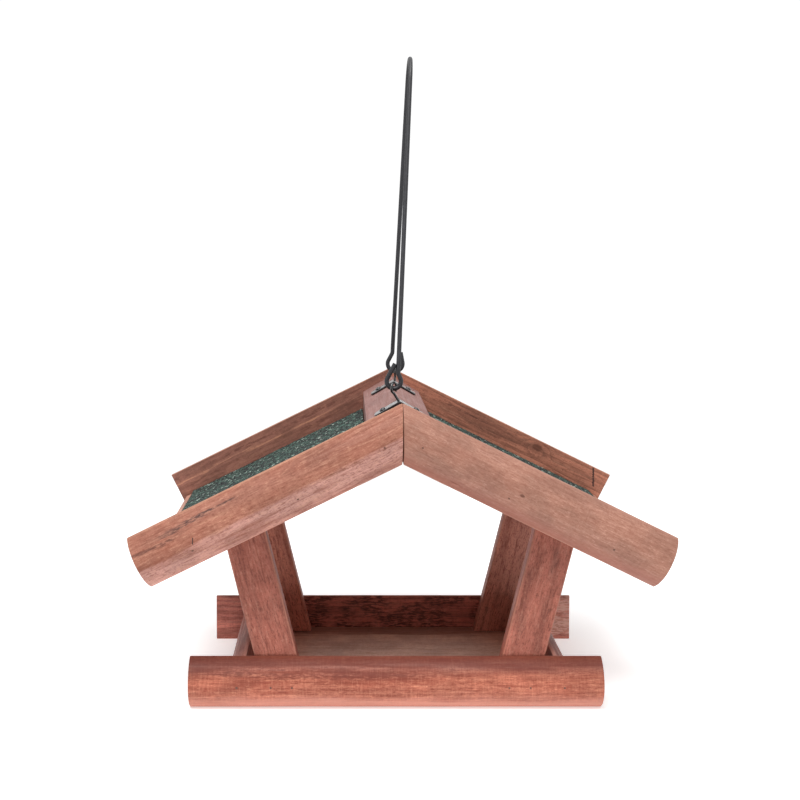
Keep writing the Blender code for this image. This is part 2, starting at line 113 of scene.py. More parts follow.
# %% Small helpers for node trees
def put(tree, kind, inputs=None, **settings):
    """Add a node, set its properties, then set or link its inputs, keyed by name or number."""
    made = tree.nodes.new(kind)
    for key, value in settings.items():
        setattr(made, key, value)
    for key, value in (inputs or {}).items():
        socket = made.inputs[key]
        if isinstance(value, bpy.types.NodeSocket):
            tree.links.new(value, socket)
        else:
            socket.default_value = value
    return made


def calc(tree, operation, a, b=0.0, clamp=False):
    return put(tree, "ShaderNodeMath", {0: a, 1: b}, operation=operation, use_clamp=clamp).outputs[0]


def times(tree, a, b):
    return calc(tree, "MULTIPLY", a, b)


def plus(tree, a, b):
    return calc(tree, "ADD", a, b)


def ragged(tree, value, noise_value, amount):
    """A value pushed up or down by a noise that averages one half."""
    return plus(tree, value, times(tree, calc(tree, "SUBTRACT", noise_value, 0.5), amount))


def scaled(tree, vector, factors):
    return put(tree, "ShaderNodeVectorMath", {0: vector, 1: factors}, operation="MULTIPLY").outputs[0]


def shifted(tree, vector, offset):
    return put(tree, "ShaderNodeVectorMath", {0: vector, 1: offset}, operation="ADD").outputs[0]


def grain_noise(tree, vector, scale, detail=3.0, roughness=0.55):
    inputs = {"Vector": vector, "Scale": scale, "Detail": detail, "Roughness": roughness}
    return put(tree, "ShaderNodeTexNoise", inputs).outputs[0]


def fade(tree, value, start, end, low=0.0, high=1.0):
    """A smooth step of a value from one level to another."""
    inputs = {"Value": value, "From Min": start, "From Max": end, "To Min": low, "To Max": high}
    return put(tree, "ShaderNodeMapRange", inputs, interpolation_type="SMOOTHSTEP").outputs[0]


def blend_colour(tree, factor, a, b, how="MIX"):
    inputs = {0: factor, 6: a, 7: b}
    settings = {"data_type": "RGBA", "blend_type": how, "clamp_factor": True}
    return put(tree, "ShaderNodeMix", inputs, **settings).outputs[2]


def tint(red, green, blue):
    """A colour given as 0 to 255 on a screen, as the linear light that shaders use."""
    linear = []
    for level in (red, green, blue):
        share = level / 255.0
        linear.append(share / 12.92 if share <= 0.04045 else ((share + 0.055) / 1.055) ** 2.4)
    return (*linear, 1.0)


# %% Room and lamps
world = bpy.data.worlds.new("white_room")
scene.world = world
world.use_nodes = True
room = world.node_tree
room.nodes.clear()
path = room.nodes.new("ShaderNodeLightPath")
seen = calc(room, "MAXIMUM", path.outputs["Is Camera Ray"], path.outputs["Is Glossy Ray"])
dim = put(room, "ShaderNodeBackground", {"Color": (1, 1, 1, 1), "Strength": 0.13})
bright = put(room, "ShaderNodeBackground", {"Color": (1, 1, 1, 1), "Strength": 1.05})
choose = put(room, "ShaderNodeMixShader", {0: seen, 1: dim.outputs[0], 2: bright.outputs[0]})
put(room, "ShaderNodeOutputWorld", {"Surface": choose.outputs[0]})


def softbox(name, place, aim, size, watts):
    lamp = bpy.data.lights.new(name, "AREA")
    lamp.shape = "RECTANGLE"
    lamp.size, lamp.size_y = size
    lamp.energy = watts
    holder = bpy.data.objects.new(name, lamp)
    holder.location = place
    holder.rotation_euler = (Vector(aim) - Vector(place)).to_track_quat("-Z", "Y").to_euler()
    scene.collection.objects.link(holder)


softbox("front_high", (-0.35, -0.95, 1.50), (0.0, 0.0, 0.12), (1.1, 0.6), 18.0)
ceiling = bpy.data.lights.new("ceiling", "SUN")
ceiling.energy = 2.2
ceiling.angle = radians(60)
ceiling_holder = bpy.data.objects.new("ceiling", ceiling)
ceiling_holder.rotation_euler = (radians(15), 0.0, 0.0)
scene.collection.objects.link(ceiling_holder)

# %% Floor
floor_mesh = bpy.data.meshes.new("studio_floor")
floor_shape = bmesh.new()
bmesh.ops.create_grid(floor_shape, x_segments=1, y_segments=1, size=0.65)
floor_shape.to_mesh(floor_mesh)
floor_shape.free()
studio_floor = bpy.data.objects.new("studio_floor", floor_mesh)
studio_floor.location = (0.0, 0.0, cad_box[0][2] - 0.0002)
scene.collection.objects.link(studio_floor)
pale = bpy.data.materials.new("pale_floor")
pale.use_nodes = True
pale.node_tree.nodes["Principled BSDF"].inputs["Base Color"].default_value = (0.93, 0.93, 0.93, 1)
pale.node_tree.nodes["Principled BSDF"].inputs["Roughness"].default_value = 0.9
pale.node_tree.nodes["Principled BSDF"].inputs["Specular IOR Level"].default_value = 0.1
pale.node_tree.nodes["Principled BSDF"].inputs["Emission Color"].default_value = (1, 1, 1, 1)
pale.node_tree.nodes["Principled BSDF"].inputs["Emission Strength"].default_value = 0.45
floor_mesh.materials.append(pale)

# %% [markdown]
# ## Sizes from the frame
# The boxes of the CAD nodes give most lengths. A pitch, a lean or the section of a moulding can't be read
# from a box, so the roof's and the timber's are stated here, and those of small parts where they are used.

# %% Sizes
low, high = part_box("front_right_bargeboard")
HALF_SPAN = high.x
APEX_Z = high.z
GABLE_CROWN_Y = -low.y
BATTEN_THICK = high.y - low.y
GABLE_Y = GABLE_CROWN_Y - BATTEN_THICK
SEAM = low.x
PITCH = radians(26.2)
BATTEN_WIDTH = 0.038
BATTEN_EDGE = 0.002
POST_LEAN = radians(14.0)
low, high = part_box("front_rail")
RAIL_HEIGHT = high.z
TRAY_Y = -high.y
low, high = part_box("ridge_beam")
RIDGE_HALF_WIDTH = high.x
RIDGE_TOP_Z = high.z
RIDGE_BOTTOM_Z = low.z
BEAM_HALF_LENGTH = high.y
RIDGE_SHOULDER_Z = 0.206
RIDGE_SLOPE = atan2(RIDGE_TOP_Z - RIDGE_SHOULDER_Z, RIDGE_HALF_WIDTH)
DOWN_SLOPE = {side: Vector((sign * cos(PITCH), 0, -sin(PITCH))) for side, sign in SIDES.items()}
ROOF_NORMAL = {side: Vector((sign * sin(PITCH), 0, cos(PITCH))) for side, sign in SIDES.items()}
print("roof spans", 2 * HALF_SPAN, "apex", APEX_Z)


def roof_z(x, drop):
    """Height of a plane lying drop below the top edge of the gable battens."""
    return APEX_Z - abs(x) * tan(PITCH) - drop / cos(PITCH)


# %% [markdown]
# ## A stick of timber
# Every wooden piece is a stick: one section, run along a line and sawn off by two planes. Building it
# vertex by vertex lets the mitres, the raked cuts and the square ends all come from the same few lines.
# Each long arris is rounded, each sawn end has a hair of chamfer, and the faces wander by a tenth of a
# millimetre, which is what makes planed softwood catch the light unevenly. A second value on every point,
# the attribute "arris", says how close it is to a rounded corner, so the stain can be thinner there.

# %% The stick maker
STATIONS = 44
CHAMFER = 0.35 * MM
WANDER = 0.10 * MM


def rounded_section(corners, radius, steps=4):
    """Round the corners of a section. Returns (x, y, arris) for each point."""
    points = []
    for index, corner in enumerate(corners):
        here = Vector(corner)
        before = (Vector(corners[index - 1]) - here).normalized()
        after = (Vector(corners[(index + 1) % len(corners)]) - here).normalized()
        half_angle = before.angle(after) / 2
        reach = radius / tan(half_angle)
        start = here + before * reach
        end = here + after * reach
        for step in range(steps + 1):
            t = step / steps
            bent = start.lerp(here, t).lerp(here.lerp(end, t), t)
            points.append((bent.x, bent.y, sin(pi * t)))
    return points


def half_round_section(width, thick, edge, steps=34, radius=0.7 * MM):
    """The moulding's section: flat at y = 0 and crowned to y = -thick, width along x."""
    rise = thick - edge
    crown = (width * width / 4 + rise * rise) / (2 * rise)
    points = []
    for x, step in ((width / 2, -1), (-width / 2, 1)):
        inner = [(x + step * radius, 0.0), (x, 0.0), (x, -radius)]
        if step > 0:
            inner.reverse()
        for t in (0.0, 0.25, 0.5, 0.75, 1.0):
            a, b, c = (Vector(p) for p in inner)
            bent = a.lerp(b, t).lerp(b.lerp(c, t), t)
            points.append((bent.x, bent.y, 0.0 if bent.y == 0.0 else 1.0))
        if step < 0:
            for number in range(steps + 1):
                across = width / 2 - width * number / steps
                y = crown - thick - (crown * crown - across * across) ** 0.5
                near_edge = abs(across) > width / 2 - 0.8 * MM
                points.append((across, y, 0.8 if near_edge else 0.0))
    return points


def stick(name, section, origin, grain, across, cuts, seed=0, wander=WANDER):
    """Run a section along the grain from one cutting plane to another.

    across is the direction of the section's x, and its y follows by the right-hand rule. cuts are two
    planes, each a point and a normal.
    """
    grain = grain.normalized()
    across = across.normalized()
    through = grain.cross(across)
    spots = [origin + across * x + through * y for x, y, _ in section]
    arris = [near for _, _, near in section]
    centre = sum(spots, Vector()) / len(spots)
    outward = []
    for index, spot in enumerate(spots):
        along = spots[(index + 1) % len(spots)] - spots[index - 1]
        side = along.cross(grain).normalized()
        outward.append(side if side.dot(spot - centre) > 0 else -side)
    ends = []
    for point, normal in cuts:
        ends.append([(point - spot).dot(normal) / grain.dot(normal) for spot in spots])
    length = abs(ends[1][0] - ends[0][0])
    shares = [0.0, CHAMFER / length]
    shares += [step / STATIONS for step in range(1, STATIONS)]
    shares += [1 - CHAMFER / length, 1.0]
    shape = bmesh.new()
    layer = shape.verts.layers.float.new("arris")
    rings = []
    for share in shares:
        ring = []
        at_end = share in (0.0, 1.0)
        for index, spot in enumerate(spots):
            reach = ends[0][index] * (1 - share) + ends[1][index] * share
            place = spot + grain * reach
            probe = Vector((reach * 26.0, spot.dot(across) * 60.0, spot.dot(through) * 60.0 + seed * 7.3))
            drift = wander * noise.noise(probe) - (CHAMFER if at_end else 0.0)
            vertex = shape.verts.new(place + outward[index] * drift)
            vertex[layer] = max(arris[index], 0.7 if at_end else 0.0)
            ring.append(vertex)
        rings.append(ring)
    for first, second in zip(rings, rings[1:]):
        for index in range(len(first)):
            after = (index + 1) % len(first)
            shape.faces.new((first[index], first[after], second[after], second[index]))
    shape.faces.new(rings[0])
    shape.faces.new(list(reversed(rings[-1])))
    bmesh.ops.recalc_face_normals(shape, faces=shape.faces)
    mesh = bpy.data.meshes.new(name)
    shape.to_mesh(mesh)
    shape.free()
    mesh.shade_smooth()
    mesh.set_sharp_from_angle(angle=radians(38))
    made = bpy.data.objects.new(name, mesh)
    scene.collection.objects.link(made)
    return made


# %% [markdown]
# ## Wood under a thin red-brown stain
# Softwood has pale early wood and dark late wood in rings round the pith. A board cut off to one side of
# the pith shows them as long stripes on its face and as arcs on its end. Here the rings are real distance
# from a pith line, bent by slow noise, in coordinates laid along each stick's own grain. Over them come
# long streaks, short pores, a change from heartwood to sapwood, dark mineral streaks and knots. Stain is
# thinner on the arrises and soaks deeper into sawn ends. The same streaks, and long edges made darker or
# lighter, also carry painted shade and painted light on the rails and the tray floor.


# %% Wood material
def own_axes(origin, grain, across):
    """Rotation and shift that bring object coordinates into a stick's own axes: grain, width, depth."""
    grain = grain.normalized()
    across = (across - grain * across.dot(grain)).normalized()
    through = grain.cross(across)
    turn = Matrix((grain, across, through))
    return turn.to_euler(), -(turn @ origin)


def timber(name, axes, main, late, pale, seed, sap=None, split=0.0, split_width=0.0015, tilt=0.0,
    pith=(0.03, 0.05), ring=0.0042, contrast=0.5, streak=0.5, fleck=0.5, streaks=(), knots=(), cracks=(),
    edges=(), wear=0.6, saw=0.25, roughness=0.58):
    """Stained softwood. Colours are screen tints; positions are metres along and across the stick."""
    material = bpy.data.materials.new(name)
    material.use_nodes = True
    tree = material.node_tree
    shader = tree.nodes["Principled BSDF"]
    where = tree.nodes.new("ShaderNodeTexCoord").outputs["Object"]
    turn, shift = axes
    local = put(tree, "ShaderNodeMapping", {"Vector": where, "Location": shift, "Rotation": turn}).outputs[0]
    seeded = shifted(tree, local, (seed * 0.043, seed * 0.031, seed * 0.017))
    parts = put(tree, "ShaderNodeSeparateXYZ", {0: local}).outputs
    along, across = parts[0], parts[1]

    # knots swell the rings round them
    swell = None
    knot_cores = []
    for knot_x, knot_y, size in knots:
        offset = shifted(tree, local, (-knot_x, -knot_y, 0.0))
        flat = scaled(tree, offset, (0.55, 1.0, 0.0))
        wobble = grain_noise(tree, scaled(tree, seeded, (300, 500, 300)), 1.0, 2.0)
        reach = put(tree, "ShaderNodeVectorMath", {0: flat}, operation="LENGTH").outputs["Value"]
        reach = ragged(tree, reach, wobble, size * 0.6)
        halo = fade(tree, reach, size * 3.2, size * 0.6)
        swell = halo if swell is None else plus(tree, swell, halo)
        knot_cores.append(fade(tree, reach, size, size * 0.55))

    # growth rings, as distance from the pith
    slow = grain_noise(tree, scaled(tree, seeded, (7, 45, 45)), 1.0, 2.0)
    from_pith = scaled(tree, shifted(tree, local, (0.0, -pith[0], -pith[1])), (0.02, 1.0, 1.0))
    distance = put(tree, "ShaderNodeVectorMath", {0: from_pith}, operation="LENGTH").outputs["Value"]
    distance = ragged(tree, distance, slow, 0.010)
    if swell is not None:
        distance = plus(tree, distance, times(tree, swell, 0.009))
    turns = calc(tree, "FRACT", times(tree, distance, 1.0 / ring))
    late_wood = calc(tree, "POWER", turns, 2.4)
    late_wood = times(tree, late_wood, fade(tree, turns, 1.0, 0.93))

    # streaks along the grain, flecks, and short pores
    long_streak = grain_noise(tree, scaled(tree, seeded, (22, 420, 420)), 1.0, 4.0, 0.62)
    broad = grain_noise(tree, scaled(tree, seeded, (13, 75, 75)), 1.0, 3.0, 0.6)
    flecks = grain_noise(tree, scaled(tree, seeded, (190, 820, 820)), 1.0, 3.0, 0.7)
    pores = grain_noise(tree, scaled(tree, seeded, (480, 1600, 1600)), 1.0, 2.0, 0.6)
    saw_marks = grain_noise(tree, scaled(tree, seeded, (900, 120, 120)), 1.0, 2.0, 0.5)
    blotch = grain_noise(tree, scaled(tree, seeded, (38, 60, 60)), 1.0, 3.0, 0.6)

    colour = main
    if sap is not None:
        edge = ragged(tree, plus(tree, across, times(tree, along, tilt)), broad, 0.010)
        side = fade(tree, edge, split - split_width, split + split_width)
        colour = blend_colour(tree, side, sap, main)
    colour = blend_colour(tree, times(tree, late_wood, contrast), colour, late)
    # each layer: its noise, where it starts and is full, its strength, its colour
    layers = (
        (broad, 0.48, 0.66, 0.9 * streak, late),
        (long_streak, 0.50, 0.66, 0.7 * streak, late),
        (long_streak, 0.46, 0.32, 0.5 * streak, pale),
        (flecks, 0.52, 0.66, 0.9 * fleck, late),
        (flecks, 0.46, 0.32, 0.6 * fleck, pale),
        (pores, 0.54, 0.68, 0.8 * fleck, late),
        (saw_marks, 0.50, 0.64, 0.45 * saw, late),
        (saw_marks, 0.46, 0.34, 0.30 * saw, pale),
    )
    for value, start, full, strength, layer_colour in layers:
        colour = blend_colour(tree, fade(tree, value, start, full, 0.0, strength), colour, layer_colour)
    soak = fade(tree, blotch, 0.36, 0.64, 0.88, 1.10)
    soak_grey = put(tree, "ShaderNodeCombineColor", {0: soak, 1: soak, 2: soak}).outputs[0]
    colour = blend_colour(tree, 1.0, colour, soak_grey, "MULTIPLY")

    # streaks of another colour: (start, end, middle across, half width, colour, strength); on the rear rail
    # they are painted shade and painted light
    for start, end, middle, half, streak_colour, strength in streaks:
        off = calc(tree, "ABSOLUTE", calc(tree, "SUBTRACT", ragged(tree, across, broad, 0.010), middle))
        band = fade(tree, ragged(tree, off, long_streak, 0.008), half, half * 0.2)
        run_out = min(0.03, 0.4 * (end - start))
        span = times(tree, fade(tree, along, start, start + run_out), fade(tree, along, end, end - run_out))
        patch = times(tree, fade(tree, flecks, 0.40, 0.56, 0.25, 1.0), fade(tree, blotch, 0.38, 0.52))
        amount = times(tree, times(tree, times(tree, band, span), patch), strength)
        colour = blend_colour(tree, amount, colour, streak_colour)
    # cracks across the grain: (where, slope, low end across, high end across)
    for crack, slope, lower, upper in cracks:
        line = ragged(tree, plus(tree, along, times(tree, across, slope)), flecks, 0.003)
        gap = fade(tree, calc(tree, "ABSOLUTE", calc(tree, "SUBTRACT", line, crack)), 0.0012, 0.0005)
        low_end = fade(tree, across, lower, lower + 0.001)
        span = times(tree, low_end, fade(tree, across, upper, upper - 0.001))
        colour = blend_colour(tree, times(tree, gap, span), colour, tint(60, 32, 26))
    for core in knot_cores:
        colour = blend_colour(tree, times(tree, core, 0.75), colour, tint(88, 48, 34))

    # a long edge may be darker or lighter: (where it starts, where it ends, colour, strength); on the front
    # rail this is painted shade and painted light, and on the tray floor it is partly painted shade
    rough_edge = ragged(tree, ragged(tree, across, broad, 0.016), long_streak, 0.008)
    for start, end, edge_colour, strength in edges:
        if start > end:
            amount = fade(tree, times(tree, rough_edge, -1.0), -start, -end, 0.0, strength)
        else:
            amount = fade(tree, rough_edge, start, end, 0.0, strength)
        colour = blend_colour(tree, amount, colour, edge_colour)

    # worn arrises and soaked ends
    near = put(tree, "ShaderNodeAttribute", attribute_name="arris").outputs["Fac"]
    worn = times(tree, near, fade(tree, broad, 0.3, 0.6, 0.4 * wear, wear))
    colour = blend_colour(tree, worn, colour, pale)
    grain_way = (turn.to_matrix().transposed() @ Vector((1.0, 0.0, 0.0))).normalized()
    facing = put(tree, "ShaderNodeNewGeometry").outputs["Normal"]
    lined_up = put(tree, "ShaderNodeVectorMath", {0: facing, 1: grain_way}, operation="DOT_PRODUCT")
    end_grain = fade(tree, calc(tree, "ABSOLUTE", lined_up.outputs["Value"]), 0.75, 0.95, 0.0, 0.45)
    colour = blend_colour(tree, end_grain, colour, late)
    tree.links.new(colour, shader.inputs["Base Color"])

    rough = fade(tree, long_streak, 0.3, 0.7, roughness - 0.08, roughness + 0.10)
    tree.links.new(rough, shader.inputs["Roughness"])
    shader.inputs["Specular IOR Level"].default_value = 0.35
    height = plus(tree, times(tree, pores, 0.5), times(tree, long_streak, 0.8))
    height = calc(tree, "SUBTRACT", height, times(tree, late_wood, 0.3))
    bump_inputs = {"Strength": 0.35, "Distance": 0.25 * MM, "Height": height}
    bump = put(tree, "ShaderNodeBump", bump_inputs)
    tree.links.new(bump.outputs[0], shader.inputs["Normal"])
    return material


def finish_wood(piece, material):
    piece.data.materials.clear()
    piece.data.materials.append(material)
    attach(piece, "feeder")
    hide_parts(piece.name.replace("_shaped", ""))


# %% [markdown]
# ## Tray rails
# The tray's four rails are half-round moulding, round side out. The long ones overhang the tray and are
# nailed across the posts. The front rail is the reddest stick on the feeder. Its upper edge is painted
# darker for the roof's shade, and its lower edge is painted lighter for the light thrown up from the floor.
# The rear rail is seen from its flat back, between the posts. Its middle is painted dark for the shade
# under the roof, and its right end is painted lighter, out of that shade.

# %% Long rails and side rails
RAIL_SECTION = half_round_section(RAIL_HEIGHT, BATTEN_THICK, BATTEN_EDGE)
RED = tint(183, 109, 86)
RED_LATE = tint(132, 62, 46)
RED_PALE = tint(218, 148, 118)
for end, facing in ENDS.items():
    low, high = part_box(end + "_rail")
    origin = Vector((0.0, facing * TRAY_Y, RAIL_HEIGHT / 2))
    grain = Vector((facing, 0.0, 0.0))
    cuts = [(Vector((low.x, 0, 0)), Vector((1, 0, 0))), (Vector((high.x, 0, 0)), Vector((1, 0, 0)))]
    rail = stick(end + "_rail_shaped", RAIL_SECTION, origin, grain, UP, cuts, seed=3 + facing)
    axes = own_axes(origin, Vector((1, 0, 0)), UP)
    if end == "front":
        wood = timber("front_rail_wood", axes, RED, RED_LATE, RED_PALE, 2, contrast=0.35, streak=0.75,
            fleck=0.8, wear=0.1, saw=0.55, pith=(0.045, 0.02),
                # painted light on the lower edge for the light thrown up from the floor, and painted shade on
                # the upper edge for the roof's shade
                edges=((-0.004, -0.016, tint(202, 140, 122), 0.75),
                (0.003, 0.015, tint(100, 44, 34), 0.8)),
            streaks=((-0.17, 0.03, 0.0085, 0.0022, tint(110, 52, 40), 0.7),))
    else:
        wood = timber("rear_rail_wood", axes, tint(215, 133, 117), tint(108, 56, 46), tint(196, 142, 124), 5,
            contrast=0.5, streak=0.6, fleck=0.5, pith=(-0.04, 0.01), wear=0.3,
            # painted shade across the middle, under the roof, and painted light on the right end, out of the
            # roof's shade
            streaks=((-0.135, 0.130, 0.0, 0.06, tint(87, 45, 34), 0.95),
                (0.110, 0.25, 0.0, 0.06, tint(226, 180, 164), 0.9)))
    finish_wood(rail, wood)

for side, facing in SIDES.items():
    low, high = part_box(side + "_side_rail")
    inner_x = facing * min(abs(low.x), abs(high.x))
    origin = Vector((inner_x, 0.0, RAIL_HEIGHT / 2))
    cuts = [(Vector((0, low.y, 0)), Vector((0, 1, 0))), (Vector((0, high.y, 0)), Vector((0, 1, 0)))]
    rail = stick(side + "_side_rail_shaped", RAIL_SECTION, origin, Vector((0, -facing, 0)), UP, cuts, seed=8)
    axes = own_axes(origin, Vector((0, 1, 0)), UP)
    wood = timber(side + "_side_rail_wood", axes, tint(160, 98, 84), tint(108, 54, 44), tint(196, 140, 124),
        7 + facing, contrast=0.5, streak=0.5)
    finish_wood(rail, wood)

# %% [markdown]
# ## Posts
# Each post is a planed strip with rounded arrises that leans out under the roof. Its foot is cut level and
# its head to the slope of the roof. Light catches the arrises, where the stain has rubbed thin.

# %% Four posts
POST_WIDTH = 0.0305
POST_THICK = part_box("front_left_post")[1].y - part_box("front_left_post")[0].y
post_cloth = {
    ("front", "left"): (tint(164, 95, 79), 11),
    ("front", "right"): (tint(175, 103, 86), 12),
    ("rear", "left"): (tint(197, 126, 106), 13),
    ("rear", "right"): (tint(193, 131, 113), 14),
}
for end, y_sign in ENDS.items():
    for side, x_sign in SIDES.items():
        name = end + "_" + side + "_post"
        low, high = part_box(name)
        foot_x = min(abs(low.x), abs(high.x)) + POST_WIDTH / cos(POST_LEAN) / 2
        foot = Vector((x_sign * foot_x, (low.y + high.y) / 2, low.z))
        lean = Vector((x_sign * sin(POST_LEAN), 0.0, cos(POST_LEAN)))
        flat_way = Vector((cos(POST_LEAN), 0.0, -x_sign * sin(POST_LEAN)))
        half_w, half_t = POST_WIDTH / 2, POST_THICK / 2
        corners = [(-half_w, -half_t), (half_w, -half_t), (half_w, half_t), (-half_w, half_t)]
        section = rounded_section(corners, 1.5 * MM)
        top_plane = Vector((0.0, 0.0, high.z))
        inner_top_x = foot.x - x_sign * half_w / cos(POST_LEAN) + x_sign * (high.z - low.z) * tan(POST_LEAN)
        top_plane.x = inner_top_x
        cuts = [(foot, UP), (top_plane, ROOF_NORMAL[side])]
        post = stick(name + "_shaped", section, foot, lean, flat_way, cuts, seed=20 + x_sign + 3 * y_sign)
        colour, seed = post_cloth[end, side]
        axes = own_axes(foot, lean, flat_way)
        wood = timber(name + "_wood", axes, colour, tint(104, 54, 42), tint(188, 132, 112), seed,
            pith=(0.01, -0.05), ring=0.006, contrast=0.35, streak=0.55, fleck=0.75)
        finish_wood(post, wood)

# %% [markdown]
# ## Gable battens
# The four battens that close the gables are the same moulding, mitred at the peak. The front pair shows
# the round side: the left one is half orange heartwood and half pink sapwood with a dark mineral streak,
# the right one an even, finely speckled tan. The rear pair shows its flat side, striped on the left and
# knotty on the right.

# %% Four gable battens
BATTEN_SECTION = half_round_section(BATTEN_WIDTH, BATTEN_THICK, BATTEN_EDGE)
batten_looks = {
    ("front", "left"): dict(main=tint(165, 109, 90), late=tint(126, 70, 52), pale=tint(206, 154, 126),
        seed=21, sap=tint(196, 146, 134), split=-0.0005, tilt=0.012, contrast=0.3, streak=0.6,
        fleck=0.7, pith=(0.06, 0.02),
        streaks=((0.100, 0.195, 0.0112, 0.0028, tint(66, 40, 36), 0.95),
            (0.150, 0.225, 0.0070, 0.0020, tint(84, 48, 40), 0.8),
            (0.014, 0.075, -0.0018, 0.0014, tint(118, 66, 44), 0.8))),
    ("front", "right"): dict(main=tint(164, 118, 100), late=tint(142, 92, 76), pale=tint(196, 150, 132),
        seed=31, contrast=0.25, streak=0.45, fleck=0.8, pith=(-0.08, 0.03), ring=0.007,
        knots=((0.0904, -0.0005, 0.0013),),
        streaks=((0.036, 0.062, -0.0135, 0.0014, tint(104, 50, 44), 1.0),),
        edges=((-0.006, -0.017, tint(156, 98, 84), 0.6),)),
    ("rear", "left"): dict(main=tint(153, 102, 87), late=tint(100, 60, 48), pale=tint(186, 128, 102), seed=41,
        contrast=0.6, streak=0.6, fleck=0.5, pith=(0.004, 0.035), ring=0.0065,
        streaks=((0.0, 0.23, 0.0130, 0.0018, tint(104, 60, 50), 0.8),
            (0.0, 0.23, 0.0050, 0.0016, tint(104, 60, 50), 0.7),
            (0.0, 0.23, -0.0030, 0.0014, tint(110, 64, 52), 0.7),
            (0.0, 0.23, 0.0090, 0.0008, tint(204, 142, 112), 0.7))),
    ("rear", "right"): dict(main=tint(186, 119, 95), late=tint(92, 56, 44), pale=tint(192, 136, 110), seed=51,
        contrast=0.65, streak=0.6, fleck=0.5, pith=(0.03, 0.02), ring=0.005,
        knots=((0.136, 0.0125, 0.0034),), cracks=((0.1966, 0.50, 0.003, 0.019),),
        streaks=((0.030, 0.130, 0.0140, 0.0010, tint(84, 48, 40), 0.8),
            (0.060, 0.120, 0.0070, 0.0008, tint(84, 48, 40), 0.7),
            (0.140, 0.190, -0.0020, 0.0010, tint(96, 54, 42), 0.7))),
}
for (end, side), look in batten_looks.items():
    facing = ENDS[end]
    x_sign = SIDES[side]
    down = DOWN_SLOPE[side]
    origin = Vector((0.0, facing * GABLE_Y, roof_z(0.0, BATTEN_WIDTH / 2)))
    up_slope = ROOF_NORMAL[side]
    top_corner = Vector((x_sign * HALF_SPAN, 0.0, roof_z(HALF_SPAN, 0.0)))
    cuts = [(Vector((x_sign * SEAM, 0, 0)), Vector((1, 0, 0))), (top_corner, down)]
    # the section's y must run from the flat face outwards, so the grain is reversed on two of the four
    grain = down if down.cross(up_slope).y * facing < 0 else -down
    name = end + "_" + side + "_bargeboard"
    batten = stick(name + "_shaped", BATTEN_SECTION, origin, grain, up_slope, cuts, seed=30 + look["seed"])
    wood = timber(name + "_wood", own_axes(origin, down, up_slope), **look)
    finish_wood(batten, wood)

# %% [markdown]
# ## Floor, roof boards and ridge beam
# The floor and the roof boards are flat and thin, in the paler tones of stained board. A raw edge shows
# at the eaves. The ridge beam is a paler stick with a five-sided section.

# %% Ridge beam
ridge_corners = [
    (RIDGE_HALF_WIDTH, RIDGE_BOTTOM_Z),
    (-RIDGE_HALF_WIDTH, RIDGE_BOTTOM_Z),
    (-RIDGE_HALF_WIDTH, RIDGE_SHOULDER_Z),
    (0.0, RIDGE_TOP_Z),
    (RIDGE_HALF_WIDTH, RIDGE_SHOULDER_Z),
]
ends_of_beam = [(Vector((0, sign * BEAM_HALF_LENGTH, 0)), Vector((0, 1, 0))) for sign in (-1, 1)]
beam = stick("ridge_beam_shaped", rounded_section(ridge_corners, 0.6 * MM), Vector(), Vector((0, 1, 0)),
    Vector((-1, 0, 0)), ends_of_beam, seed=61)
wood = timber("ridge_wood", own_axes(Vector((0, 0, RIDGE_TOP_Z)), Vector((0, 1, 0)), Vector((1, 0, 0))),
    tint(149, 111, 105), tint(125, 83, 75), tint(175, 138, 132), 61, pith=(0.0, -0.07),
    ring=0.006, contrast=0.3, streak=0.35, fleck=0.5, roughness=0.66)
finish_wood(beam, wood)

# %% Roof boards and tray floor
for side, x_sign in SIDES.items():
    low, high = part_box(side + "_roof_panel")
    upper_x = min(abs(low.x), abs(high.x))
    eave_x = max(abs(low.x), abs(high.x))
    thick = 0.006
    drop = (APEX_Z - upper_x * tan(PITCH) - high.z) * cos(PITCH)
    normal = ROOF_NORMAL[side]
    down = DOWN_SLOPE[side]
    origin = Vector((0.0, 0.0, roof_z(0.0, drop)))
    start = upper_x / cos(PITCH)
    eave = eave_x / cos(PITCH)
    corners = [(start, 0.0), (eave, 0.0), (eave, -thick), (start + thick * tan(PITCH), -thick)]
    # the section lies in the plane of the gable, and the stick runs along the ridge
    section = rounded_section(corners, 0.5 * MM)
    grain = normal.cross(down)
    grain = -grain if grain.cross(down).dot(normal) < 0 else grain
    panel = stick(side + "_roof_panel_shaped", section, origin, grain, down, ends_of_beam, seed=70 + x_sign)
    wood = timber(side + "_ply_wood", own_axes(origin, Vector((0, 1, 0)), down), tint(190, 140, 122),
        tint(150, 100, 84), tint(216, 176, 158), 71 + x_sign, contrast=0.25, streak=0.4, fleck=0.6)
    finish_wood(panel, wood)

low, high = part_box("floor_panel")
half_x, half_z = high.x, (high.z - low.z) / 2
corners = [(half_x, -half_z), (-half_x, -half_z), (-half_x, half_z), (half_x, half_z)]
ends_of_floor = [(Vector((0, low.y, 0)), Vector((0, 1, 0))), (Vector((0, high.y, 0)), Vector((0, 1, 0)))]
tray = stick("floor_panel_shaped", rounded_section(corners, 0.4 * MM), Vector((0, 0, (low.z + high.z) / 2)),
    Vector((0, 1, 0)), Vector((-1, 0, 0)), ends_of_floor, seed=80, wander=0.05 * MM)
# the darker strip along the rear edge is partly the stain's own colour and partly painted shade beside the
# rear rail
wood = timber("tray_floor_wood", own_axes(Vector((0, 0, high.z)), Vector((1, 0, 0)), Vector((0, 1, 0))),
    tint(190, 159, 143), tint(144, 111, 97), tint(218, 191, 176), 81, pith=(0.02, -0.15), ring=0.011,
    contrast=0.35, streak=0.4, fleck=0.6, edges=((0.046, 0.056, tint(96, 52, 40), 0.7),))
finish_wood(tray, wood)

